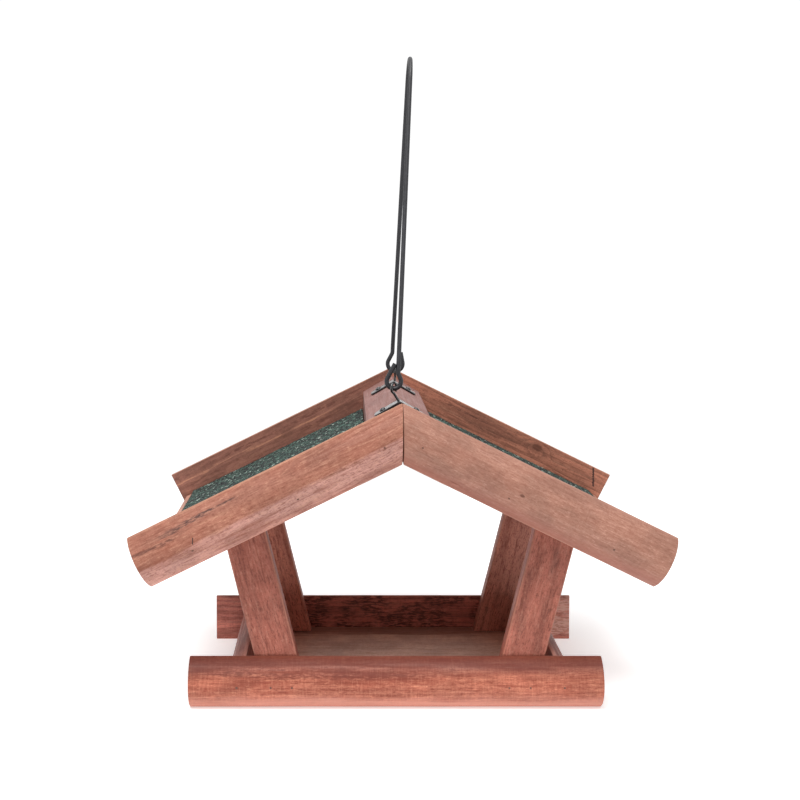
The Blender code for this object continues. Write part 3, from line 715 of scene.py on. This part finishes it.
# %% [markdown]
# ## Roofing felt
# Mineral felt is bitumen sheet rolled in crushed green slate. Up close it is thousands of chips of
# different greens, with black gaps and a few pale grains. The sheet itself is a thin slab with a slightly
# uneven top. Geometry Nodes scatter the chips over it, turn each one at random and join them to the sheet.

# %% Granule material
def felt_material():
    material = bpy.data.materials.new("green_mineral_felt")
    material.use_nodes = True
    tree = material.node_tree
    shader = tree.nodes["Principled BSDF"]
    where = tree.nodes.new("ShaderNodeTexCoord").outputs["Object"]
    cells = put(tree, "ShaderNodeTexVoronoi", {"Vector": where, "Scale": 540.0, "Randomness": 1.0})
    pick = put(tree, "ShaderNodeSeparateColor", {0: cells.outputs["Color"]}).outputs[0]
    ramp = put(tree, "ShaderNodeValToRGB", {0: pick})
    ramp.color_ramp.interpolation = "CONSTANT"
    stops = [
        (0.00, tint(7, 9, 10)),
        (0.30, tint(28, 40, 38)),
        (0.48, tint(50, 72, 64)),
        (0.68, tint(72, 96, 86)),
        (0.80, tint(26, 38, 36)),
        (0.90, tint(98, 122, 110)),
        (0.965, tint(168, 180, 170)),
    ]
    for position, colour in stops[2:]:
        ramp.color_ramp.elements.new(position)
    for element, (position, colour) in zip(ramp.color_ramp.elements, stops):
        element.position = position
        element.color = colour
    patches = grain_noise(tree, where, 90.0, 3.0)
    shade = fade(tree, patches, 0.3, 0.7, 0.65, 1.2)
    grey = put(tree, "ShaderNodeCombineColor", {0: shade, 1: shade, 2: shade}).outputs[0]
    tree.links.new(blend_colour(tree, 1.0, ramp.outputs[0], grey, "MULTIPLY"), shader.inputs["Base Color"])
    fine = grain_noise(tree, where, 2600.0, 2.0)
    bump = put(tree, "ShaderNodeBump", {"Strength": 0.5, "Distance": 0.2 * MM, "Height": fine})
    tree.links.new(bump.outputs[0], shader.inputs["Normal"])
    shader.inputs["Roughness"].default_value = 0.85
    return material


FELT = felt_material()


# %% Granule tree
def new_tree(name, sockets):
    """An empty Geometry Nodes tree with one geometry in, one out, and named inputs."""
    tree = bpy.data.node_groups.new(name, "GeometryNodeTree")
    tree.interface.new_socket("Geometry", in_out="INPUT", socket_type="NodeSocketGeometry")
    for label, kind, value in sockets:
        socket = tree.interface.new_socket(label, in_out="INPUT", socket_type="NodeSocket" + kind)
        if value is not None:
            socket.default_value = value
    tree.interface.new_socket("Geometry", in_out="OUTPUT", socket_type="NodeSocketGeometry")
    return tree, tree.nodes.new("NodeGroupInput").outputs


def close_tree(tree, geometry, material):
    """End a tree with the instances made real and their material set."""
    real = put(tree, "GeometryNodeRealizeInstances", {0: geometry}).outputs[0]
    dressed = put(tree, "GeometryNodeSetMaterial", {0: real, "Material": material}).outputs[0]
    put(tree, "NodeGroupOutput", {0: dressed})


def run_tree(piece, tree, values):
    """Put a tree on an object as a modifier, set its inputs by identifier, and keep only the result."""
    modifier = piece.modifiers.new(tree.name, "NODES")
    modifier.node_group = tree
    for item in tree.interface.items_tree:
        if item.item_type == "SOCKET" and item.in_out == "INPUT" and item.name in values:
            modifier[item.identifier] = values[item.name]
    bpy.context.view_layer.update()
    graph = bpy.context.evaluated_depsgraph_get()
    mesh = bpy.data.meshes.new_from_object(piece.evaluated_get(graph), depsgraph=graph)
    name = piece.name.replace("_guide", "")
    bpy.data.objects.remove(piece, do_unlink=True)
    made = bpy.data.objects.new(name, mesh)
    scene.collection.objects.link(made)
    return made


def granule_tree():
    tau = 2 * pi
    sockets = (("Density", "Float", 1.0), ("Smallest", "Float", 0.3), ("Largest", "Float", 1.0),
        ("Seed", "Int", 1), ("Finish", "Material", None))
    tree, given = new_tree("granules", sockets)
    normal = put(tree, "GeometryNodeInputNormal").outputs[0]
    upward = put(tree, "ShaderNodeVectorMath", {0: normal, 1: UP}, operation="DOT_PRODUCT")
    facing_up = upward.outputs["Value"]
    on_top = put(tree, "FunctionNodeCompare", {0: facing_up, 1: 0.5}, operation="GREATER_THAN").outputs[0]
    scatter = put(tree, "GeometryNodeDistributePointsOnFaces",
        {"Mesh": given["Geometry"], "Selection": on_top, "Density": given["Density"],
            "Seed": given["Seed"]})
    chip = put(tree, "GeometryNodeMeshIcoSphere", {"Radius": 1.0, "Subdivisions": 1}).outputs[0]
    turn = put(tree, "FunctionNodeRandomValue", {0: (0, 0, 0), 1: (tau, tau, tau), "Seed": 3},
        data_type="FLOAT_VECTOR").outputs[0]
    squash = put(tree, "FunctionNodeRandomValue", {0: (0.6, 0.6, 0.45), 1: (1.0, 1.0, 0.8), "Seed": 5},
        data_type="FLOAT_VECTOR").outputs[0]
    size = put(tree, "FunctionNodeRandomValue", {2: given["Smallest"], 3: given["Largest"], "Seed": 8},
        data_type="FLOAT").outputs[1]
    stretch = put(tree, "ShaderNodeVectorMath", {0: squash, "Scale": size}, operation="SCALE").outputs[0]
    chips = put(tree, "GeometryNodeInstanceOnPoints",
        {"Points": scatter.outputs[0], "Instance": chip, "Rotation": turn, "Scale": stretch})
    joined = tree.nodes.new("GeometryNodeJoinGeometry")
    tree.links.new(chips.outputs[0], joined.inputs[0])
    tree.links.new(given["Geometry"], joined.inputs[0])
    close_tree(tree, joined.outputs[0], given["Finish"])
    return tree


GRANULES = granule_tree()

# %% Felt sheets
for side, x_sign in SIDES.items():
    low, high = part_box(side + "_felt")
    upper_x = min(abs(low.x), abs(high.x))
    eave_x = max(abs(low.x), abs(high.x))
    thick = 0.0018
    drop = (APEX_Z - upper_x * tan(PITCH) - high.z) * cos(PITCH)
    normal, down = ROOF_NORMAL[side], DOWN_SLOPE[side]
    origin = Vector((0.0, 0.0, roof_z(0.0, drop)))
    start, eave = (upper_x + 1.0 * MM) / cos(PITCH), eave_x / cos(PITCH)
    shape = bmesh.new()
    rows, columns = 46, 56
    for row in range(rows + 1):
        for column in range(columns + 1):
            u = start + (eave - start) * row / rows
            y = BEAM_HALF_LENGTH * (2 * column / columns - 1)
            lift = 0.25 * MM * noise.noise(Vector((u * 55, y * 55, 4 + x_sign)))
            shape.verts.new(origin + down * u + Vector((0, y, 0)) + normal * (lift - 0.5 * MM))
    shape.verts.ensure_lookup_table()
    for row in range(rows):
        for column in range(columns):
            first = row * (columns + 1) + column
            corner = [first, first + 1, first + columns + 2, first + columns + 1]
            shape.faces.new([shape.verts[index] for index in corner])
    bmesh.ops.recalc_face_normals(shape, faces=shape.faces)
    shape.normal_update()
    if shape.faces[0].normal.dot(normal) < 0:
        bmesh.ops.reverse_faces(shape, faces=shape.faces)
    mesh = bpy.data.meshes.new(side + "_felt_sheet")
    shape.to_mesh(mesh)
    shape.free()
    guide = bpy.data.objects.new(side + "_felt_sheet_guide", mesh)
    scene.collection.objects.link(guide)
    sheet_skin = guide.modifiers.new("thickness", "SOLIDIFY")
    sheet_skin.thickness = thick - 0.5 * MM
    sheet_skin.offset = -1.0
    felt = run_tree(guide, GRANULES, {"Density": 290000.0, "Smallest": 0.28 * MM, "Largest": 0.62 * MM,
            "Seed": 4 + x_sign, "Finish": FELT})
    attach(felt, "feeder")
    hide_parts(side + "_felt")
    print(felt.name, len(felt.data.polygons), "faces")

# %% [markdown]
# ## Metal
# The bail is 3.4 mm wire with a baked charcoal coat, satin with a very fine orange peel. The saddle plates,
# screws and eyes are glossy black. Both wires are swept along their own line by one Geometry Nodes tree.


# %% Metal finishes
def coated(name, colour, roughness, peel, coat=0.0, dents=0.0):
    material = bpy.data.materials.new(name)
    material.use_nodes = True
    tree = material.node_tree
    shader = tree.nodes["Principled BSDF"]
    where = tree.nodes.new("ShaderNodeTexCoord").outputs["Object"]
    scuffs = grain_noise(tree, where, 260.0, 3.0)
    light = tuple(min(1.0, level * 1.7) for level in colour[:3]) + (1.0,)
    worn = blend_colour(tree, fade(tree, scuffs, 0.45, 0.75), colour, light)
    tree.links.new(worn, shader.inputs["Base Color"])
    rough = fade(tree, scuffs, 0.3, 0.7, roughness - 0.05, roughness + 0.08)
    tree.links.new(rough, shader.inputs["Roughness"])
    fine = grain_noise(tree, where, 1500.0, 1.0)
    wavy = grain_noise(tree, where, 420.0, 2.0)
    broad_bump = put(tree, "ShaderNodeBump", {"Strength": dents, "Distance": 0.6 * MM, "Height": wavy})
    bump_inputs = {"Strength": peel, "Distance": 0.08 * MM, "Height": fine, "Normal": broad_bump.outputs[0]}
    bump = put(tree, "ShaderNodeBump", bump_inputs)
    tree.links.new(bump.outputs[0], shader.inputs["Normal"])
    tree.links.new(bump.outputs[0], shader.inputs["Coat Normal"])
    shader.inputs["Coat Weight"].default_value = coat
    shader.inputs["Coat Roughness"].default_value = 0.08
    return material


WIRE_COAT = coated("charcoal_wire_coat", tint(30, 30, 34), 0.45, 0.4)
BLACK = coated("gloss_black", tint(12, 12, 14), 0.25, 0.3, coat=0.7, dents=0.6)
NAIL_STEEL = coated("dull_nail", tint(96, 62, 50), 0.6, 0.4)


# %% Wire tree
def wire_tree():
    sockets = (("Radius", "Float", 0.001), ("Finish", "Material", None))
    tree, given = new_tree("swept_wire", sockets)
    ring = put(tree, "GeometryNodeCurvePrimitiveCircle", {"Resolution": 18, "Radius": given["Radius"]})
    swept = put(tree, "GeometryNodeCurveToMesh",
        {"Curve": given["Geometry"], "Profile Curve": ring.outputs[0], "Fill Caps": True})
    smooth = put(tree, "GeometryNodeSetShadeSmooth", {0: swept.outputs[0]})
    close_tree(tree, smooth.outputs[0], given["Finish"])
    return tree


SWEPT_WIRE = wire_tree()


def bent_wire(name, route, radius, finish):
    curve = bpy.data.curves.new(name, "CURVE")
    curve.dimensions = "3D"
    spline = curve.splines.new("POLY")
    spline.points.add(len(route) - 1)
    for point, place in zip(spline.points, route):
        point.co = (*place, 1.0)
    guide = bpy.data.objects.new(name + "_guide", curve)
    scene.collection.objects.link(guide)
    made = run_tree(guide, SWEPT_WIRE, {"Radius": radius, "Finish": finish})
    shape = bmesh.new()
    shape.from_mesh(made.data)
    bmesh.ops.remove_doubles(shape, verts=shape.verts, dist=0.01 * MM)
    bmesh.ops.recalc_face_normals(shape, faces=shape.faces)
    shape.to_mesh(made.data)
    shape.free()
    made.data.shade_smooth()
    made.data.set_sharp_from_angle(angle=radians(50))
    return made


# %% [markdown]
# ## Wire bail
# One wire makes both hooks and the loop overhead. Each hook's bend is a true arc round the line that the
# bail swings on, so the wire slides through its eye as it turns. The front hook is closed to a teardrop,
# the rear one stands more open, and they face opposite ways.

# %% Bail
hinge = frame["record"]["behaviour"]["joints"][0]
HINGE = Vector(hinge["pos_m"])
HINGE_AXIS = Vector(hinge["axis"]).normalized()
WIRE_RADIUS = 1.7 * MM
PLATE_Y = 0.055
HINGE_SKEW = PLATE_Y * HINGE_AXIS.x / HINGE_AXIS.y
BAIL_TILT = radians(2.65)
BAIL_TOP_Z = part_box("bail")[1].z
ARCH_RADIUS = 0.021
HOOK_LEAN = radians(25.0)
NECK_RADIUS = 0.006
HOOK = {
    "front": {"radius": 0.0052, "leg": 0.0028, "tip_lean": radians(25.0), "tip": 0.0118},
    "rear": {"radius": 0.0062, "leg": 0.0027, "tip_lean": radians(13.0), "tip": 0.0085},
}


def arc(centre, radius, first, last, steps):
    points = []
    for step in range(steps + 1):
        angle = first + (last - first) * step / steps
        points.append((centre[0] + radius * cos(angle), centre[1] + radius * sin(angle)))
    return points


def hook_and_leg(end):
    """Half of the bail in its own frame, from the hook's tip to the top of the arch."""
    size = HOOK[end]
    reach = hypot(PLATE_Y, HINGE_SKEW)
    bend = arc((0.0, 0.0), size["radius"], -pi - size["tip_lean"], HOOK_LEAN, 44)
    tip = [
        (bend[0][0] + size["tip"] * share * sin(size["tip_lean"]),
         bend[0][1] + size["tip"] * share * cos(size["tip_lean"]))
        for share in (1.0, 0.6, 0.25)
    ]
    swing = NECK_RADIUS * (1 - cos(HOOK_LEAN))
    run = max(0.0002, (bend[-1][0] - size["leg"] - swing) / sin(HOOK_LEAN))
    neck_x = bend[-1][0] - run * sin(HOOK_LEAN)
    neck_z = bend[-1][1] + run * cos(HOOK_LEAN)
    centre = (neck_x + NECK_RADIUS * cos(HOOK_LEAN), neck_z + NECK_RADIUS * sin(HOOK_LEAN))
    neck = arc(centre, NECK_RADIUS, pi + HOOK_LEAN, pi, 10)
    route = [Vector((x, -reach, z)) for x, z in tip + bend + neck]
    start = route[-1].copy()
    top = (BAIL_TOP_Z - HINGE.z) / cos(BAIL_TILT) - WIRE_RADIUS
    arch_z = top - ARCH_RADIUS
    to_centre = hypot(reach, arch_z - start.z)
    lean_in = atan2(reach, arch_z - start.z) - asin(ARCH_RADIUS / to_centre)
    foot_turn = 0.012
    for share in (0.33, 0.66, 1.0):
        height = foot_turn * 0.5 * share
        route.append(start + Vector((0.0, height * 0.5 * share * tan(lean_in), height)))
    for y, z in arc((0.0, arch_z), ARCH_RADIUS, pi - lean_in, pi / 2, 22):
        route.append(Vector((start.x * -y / reach, y, z)))
    return route


front_half = hook_and_leg("front")
rear_half = [Vector((-point.x, -point.y, point.z)) for point in hook_and_leg("rear")]
rear_half.reverse()
place = Matrix.Translation(HINGE) @ Matrix.Rotation(-atan2(HINGE_SKEW, PLATE_Y), 4, "Z")
place = place @ Matrix.Rotation(BAIL_TILT, 4, "Y")
bail_route = [place @ point for point in front_half + rear_half[1:]]
bail = bent_wire("bail_wire", bail_route, WIRE_RADIUS, WIRE_COAT)
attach(bail, "bail")
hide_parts("bail")
print("bail top", max(point.z for point in bail_route))

# %% [markdown]
# ## Eyes, saddle plates and screws
# Each end of the bail hangs in an eye that stands on the ridge. Under it a strip of steel is folded over
# the ridge and held by two small pan-head screws with crossed slots.

# %% Eyes
EYE_RADIUS = 3.7 * MM
EYE_WIRE_RADIUS = 1.0 * MM
EYE_LIFT = 0.6 * MM
PLATE_THICK = 1.5 * MM
GAP = 0.3 * MM
EYE_TURN = {"front": radians(32.0), "rear": radians(4.0)}
EYE_FOOT_X = {"front": -1.0 * MM, "rear": 1.2 * MM}


def saddle_z(x, above):
    """Height above the sloping top of the ridge beam, measured square to it."""
    return RIDGE_TOP_Z - abs(x) * tan(RIDGE_SLOPE) + above / cos(RIDGE_SLOPE)


def eye_route(end):
    """An open ring, then a short stem that leans to its foot and a shank straight down."""
    y = ENDS[end] * PLATE_Y
    middle_x = HINGE.x + HINGE_SKEW * ENDS[end]
    middle = Vector((middle_x, y, HINGE.z - HOOK[end]["radius"] + EYE_LIFT))
    across = Vector((sin(EYE_TURN[end]), cos(EYE_TURN[end]), 0.0))
    route = []
    first, last, steps = radians(-48), radians(248), 44
    for step in range(steps + 1):
        angle = first + (last - first) * step / steps
        route.append(middle + EYE_RADIUS * (cos(angle) * across + sin(angle) * UP))
    foot = Vector((EYE_FOOT_X[end], y, saddle_z(EYE_FOOT_X[end], GAP + PLATE_THICK)))
    start = route[-1]
    bend = middle - UP * EYE_RADIUS * 1.08
    stem_top = bend.lerp(foot, 0.3)
    for t in (0.2, 0.4, 0.6, 0.8, 1.0):
        route.append(start.lerp(bend, t).lerp(bend.lerp(stem_top, t), t))
    route.append(stem_top.lerp(foot, 0.7))
    route.append(foot + UP * 0.2 * MM)
    route.append(foot - UP * 1.2 * MM)
    route.append(Vector((foot.x, y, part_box(end + "_eye")[0].z)))
    return route


for end in ENDS:
    eye = bent_wire(end + "_eye_wire", eye_route(end), EYE_WIRE_RADIUS, BLACK)
    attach(eye, "feeder")
    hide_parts(end + "_eye")


# %% Saddle plates
def saddle_plate(end):
    """A strip folded over the ridge with a small bend radius, rounded ends and softened edges."""
    low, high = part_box(end + "_saddle_plate")
    half_span = high.x
    middle_y = (low.y + high.y) / 2
    half_width = (high.y - low.y) / 2
    shape = bmesh.new()
    grid = []
    steps, lanes = 40, 8
    for step in range(steps + 1):
        x = half_span * (2 * step / steps - 1)
        from_end = half_span - abs(x)
        corner = 3.0 * MM
        pull = corner - (corner ** 2 - (corner - min(from_end, corner)) ** 2) ** 0.5
        row = []
        for lane in range(lanes + 1):
            y = (half_width - pull) * (2 * lane / lanes - 1)
            ridge = max(0.0, 1.0 - abs(x) / (1.6 * MM)) ** 2 * 0.35 * MM
            row.append(shape.verts.new((x, middle_y + y, saddle_z(x, GAP + PLATE_THICK) - ridge)))
        grid.append(row)
    for first, second in zip(grid, grid[1:]):
        for a, b, c, d in zip(first, first[1:], second[1:], second):
            shape.faces.new((a, d, c, b))
    mesh = bpy.data.meshes.new(end + "_plate")
    shape.to_mesh(mesh)
    shape.free()
    plate = bpy.data.objects.new(end + "_plate", mesh)
    scene.collection.objects.link(plate)
    skin = plate.modifiers.new("thickness", "SOLIDIFY")
    skin.thickness = PLATE_THICK * 0.94
    skin.offset = -1.0
    soft = plate.modifiers.new("soft_edges", "BEVEL")
    soft.width = 0.3 * MM
    soft.segments = 2
    soft.limit_method = "ANGLE"
    soft.angle_limit = radians(50)
    return plate


def keep_shape(piece):
    """Replace an object's mesh by its evaluated one and drop the modifiers."""
    bpy.context.view_layer.update()
    graph = bpy.context.evaluated_depsgraph_get()
    mesh = bpy.data.meshes.new_from_object(piece.evaluated_get(graph), depsgraph=graph)
    piece.modifiers.clear()
    piece.data = mesh
    mesh.shade_smooth()
    mesh.set_sharp_from_angle(angle=radians(40))


for end in ENDS:
    plate = saddle_plate(end)
    keep_shape(plate)
    plate.data.materials.append(BLACK)
    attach(plate, "feeder")
    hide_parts(end + "_saddle_plate")


# %% Screw and nail tree
def fastener_tree():
    """Stand a head and a shank on every point, turned to the point's own direction."""
    sockets = (("Head Radius", "Float", 1.0), ("Head Height", "Float", 1.0), ("Shank Radius", "Float", 1.0),
        ("Shank Length", "Float", 1.0), ("Slot", "Float", 0.0), ("Finish", "Material", None))
    tree, given = new_tree("fasteners", sockets)
    head = put(tree, "GeometryNodeMeshUVSphere",
        {"Segments": 24, "Rings": 12, "Radius": given["Head Radius"]}).outputs[0]
    flat = calc(tree, "DIVIDE", given["Head Height"], given["Head Radius"])
    squash = put(tree, "ShaderNodeCombineXYZ", {0: 1.0, 1: 1.0, 2: flat}).outputs[0]
    dome = put(tree, "GeometryNodeTransform", {0: head, "Scale": squash}).outputs[0]
    length = put(tree, "ShaderNodeCombineXYZ",
        {0: calc(tree, "MULTIPLY", given["Head Radius"], 1.25), 1: given["Slot"],
            2: given["Head Height"]}).outputs[0]
    bar = put(tree, "GeometryNodeMeshCube", {"Size": length}).outputs[0]
    lift = put(tree, "ShaderNodeCombineXYZ", {2: given["Head Height"]}).outputs[0]
    slot_one = put(tree, "GeometryNodeTransform", {0: bar, "Translation": lift}).outputs[0]
    slot_two = put(tree, "GeometryNodeTransform",
        {0: bar, "Translation": lift, "Rotation": (0.0, 0.0, pi / 2)}).outputs[0]
    cut = put(tree, "GeometryNodeMeshBoolean", {"Mesh 1": dome}, operation="DIFFERENCE", solver="EXACT")
    tree.links.new(slot_one, cut.inputs["Mesh 2"])
    tree.links.new(slot_two, cut.inputs["Mesh 2"])
    shank = put(tree, "GeometryNodeMeshCylinder",
        {"Vertices": 16, "Radius": given["Shank Radius"], "Depth": given["Shank Length"]}).outputs[0]
    drop = put(tree, "ShaderNodeCombineXYZ",
        {2: calc(tree, "MULTIPLY", given["Shank Length"], -0.5)}).outputs[0]
    pin = put(tree, "GeometryNodeTransform", {0: shank, "Translation": drop}).outputs[0]
    whole = tree.nodes.new("GeometryNodeJoinGeometry")
    tree.links.new(cut.outputs[0], whole.inputs[0])
    tree.links.new(pin, whole.inputs[0])
    points = put(tree, "GeometryNodeMeshToPoints", {0: given["Geometry"]}).outputs[0]
    aim = put(tree, "GeometryNodeInputNamedAttribute", {"Name": "aim"}, data_type="FLOAT_VECTOR").outputs[0]
    turn = put(tree, "FunctionNodeAlignRotationToVector", {"Vector": aim}, axis="Z").outputs[0]
    stood = put(tree, "GeometryNodeInstanceOnPoints",
        {"Points": points, "Instance": whole.outputs[0], "Rotation": turn}).outputs[0]
    close_tree(tree, stood, given["Finish"])
    return tree


FASTENERS = fastener_tree()


def fasten(name, spots, nodes, values):
    """Make fasteners at a list of (place, outward direction), one piece in all."""
    mesh = bpy.data.meshes.new(name)
    mesh.from_pydata([place for place, _ in spots], [], [])
    aim = mesh.attributes.new("aim", "FLOAT_VECTOR", "POINT")
    for index, (_, outward) in enumerate(spots):
        aim.data[index].vector = outward
    guide = bpy.data.objects.new(name + "_guide", mesh)
    scene.collection.objects.link(guide)
    made = run_tree(guide, FASTENERS, values)
    made.data.shade_smooth()
    made.data.set_sharp_from_angle(angle=radians(40))
    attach(made, "feeder")
    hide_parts(*nodes)
    return made


SCREW_X = 12.5 * MM
screw_spots = []
screw_nodes = []
for end, y_sign in ENDS.items():
    for side, x_sign in SIDES.items():
        place = Vector((x_sign * SCREW_X, y_sign * PLATE_Y, saddle_z(SCREW_X, PLATE_THICK + 1.6 * GAP)))
        screw_spots.append((place, Vector((x_sign * sin(RIDGE_SLOPE), 0, cos(RIDGE_SLOPE)))))
        screw_nodes.append(end + "_plate_screw_" + side)
fasten("plate_screws", screw_spots, screw_nodes,
       {"Head Radius": 2.4 * MM, "Head Height": 1.3 * MM, "Shank Radius": 1.1 * MM, "Shank Length": 11 * MM,
        "Slot": 0.5 * MM, "Finish": BLACK})

# %% Nails
# The heads are driven just flush with the wood, so each shows as a dull spot.
nail_nodes = sorted(name for name in frame["nodes"] if "nail" in name)
nail_spots = []
for name in nail_nodes:
    low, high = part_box(name)
    facing = -1 if name.startswith("front") else 1
    outer_y = low.y if facing < 0 else high.y
    place = Vector(((low.x + high.x) / 2, outer_y + facing * 0.25 * MM, (low.z + high.z) / 2))
    nail_spots.append((place, Vector((0.0, facing, 0.0))))
fasten("nails", nail_spots, nail_nodes,
       {"Head Radius": 1.0 * MM, "Head Height": 0.25 * MM, "Shank Radius": 0.7 * MM, "Shank Length": 22 * MM,
        "Slot": 0.0, "Finish": NAIL_STEEL})

# %% [markdown]
# ## A staple
# One dark staple mark shows on the left gable batten. It is a short straight wire set almost flush with
# the wood, so the sweep that made the bail serves for it too.

# %% Staple
STAPLE = coated("staple_slot", tint(58, 34, 30), 0.6, 0.3)
staple_x = -0.1438
staple_depth = 0.0196
staple_reach = 2.3 * MM
staple_z = roof_z(staple_x, staple_depth)
staple_y = -GABLE_CROWN_Y + 0.12 * MM
staple_route = [Vector((staple_x, staple_y, staple_z + way * staple_reach)) for way in (-1, 0, 1)]
staple = bent_wire("gable_staple", staple_route, 0.35 * MM, STAPLE)
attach(staple, "feeder")
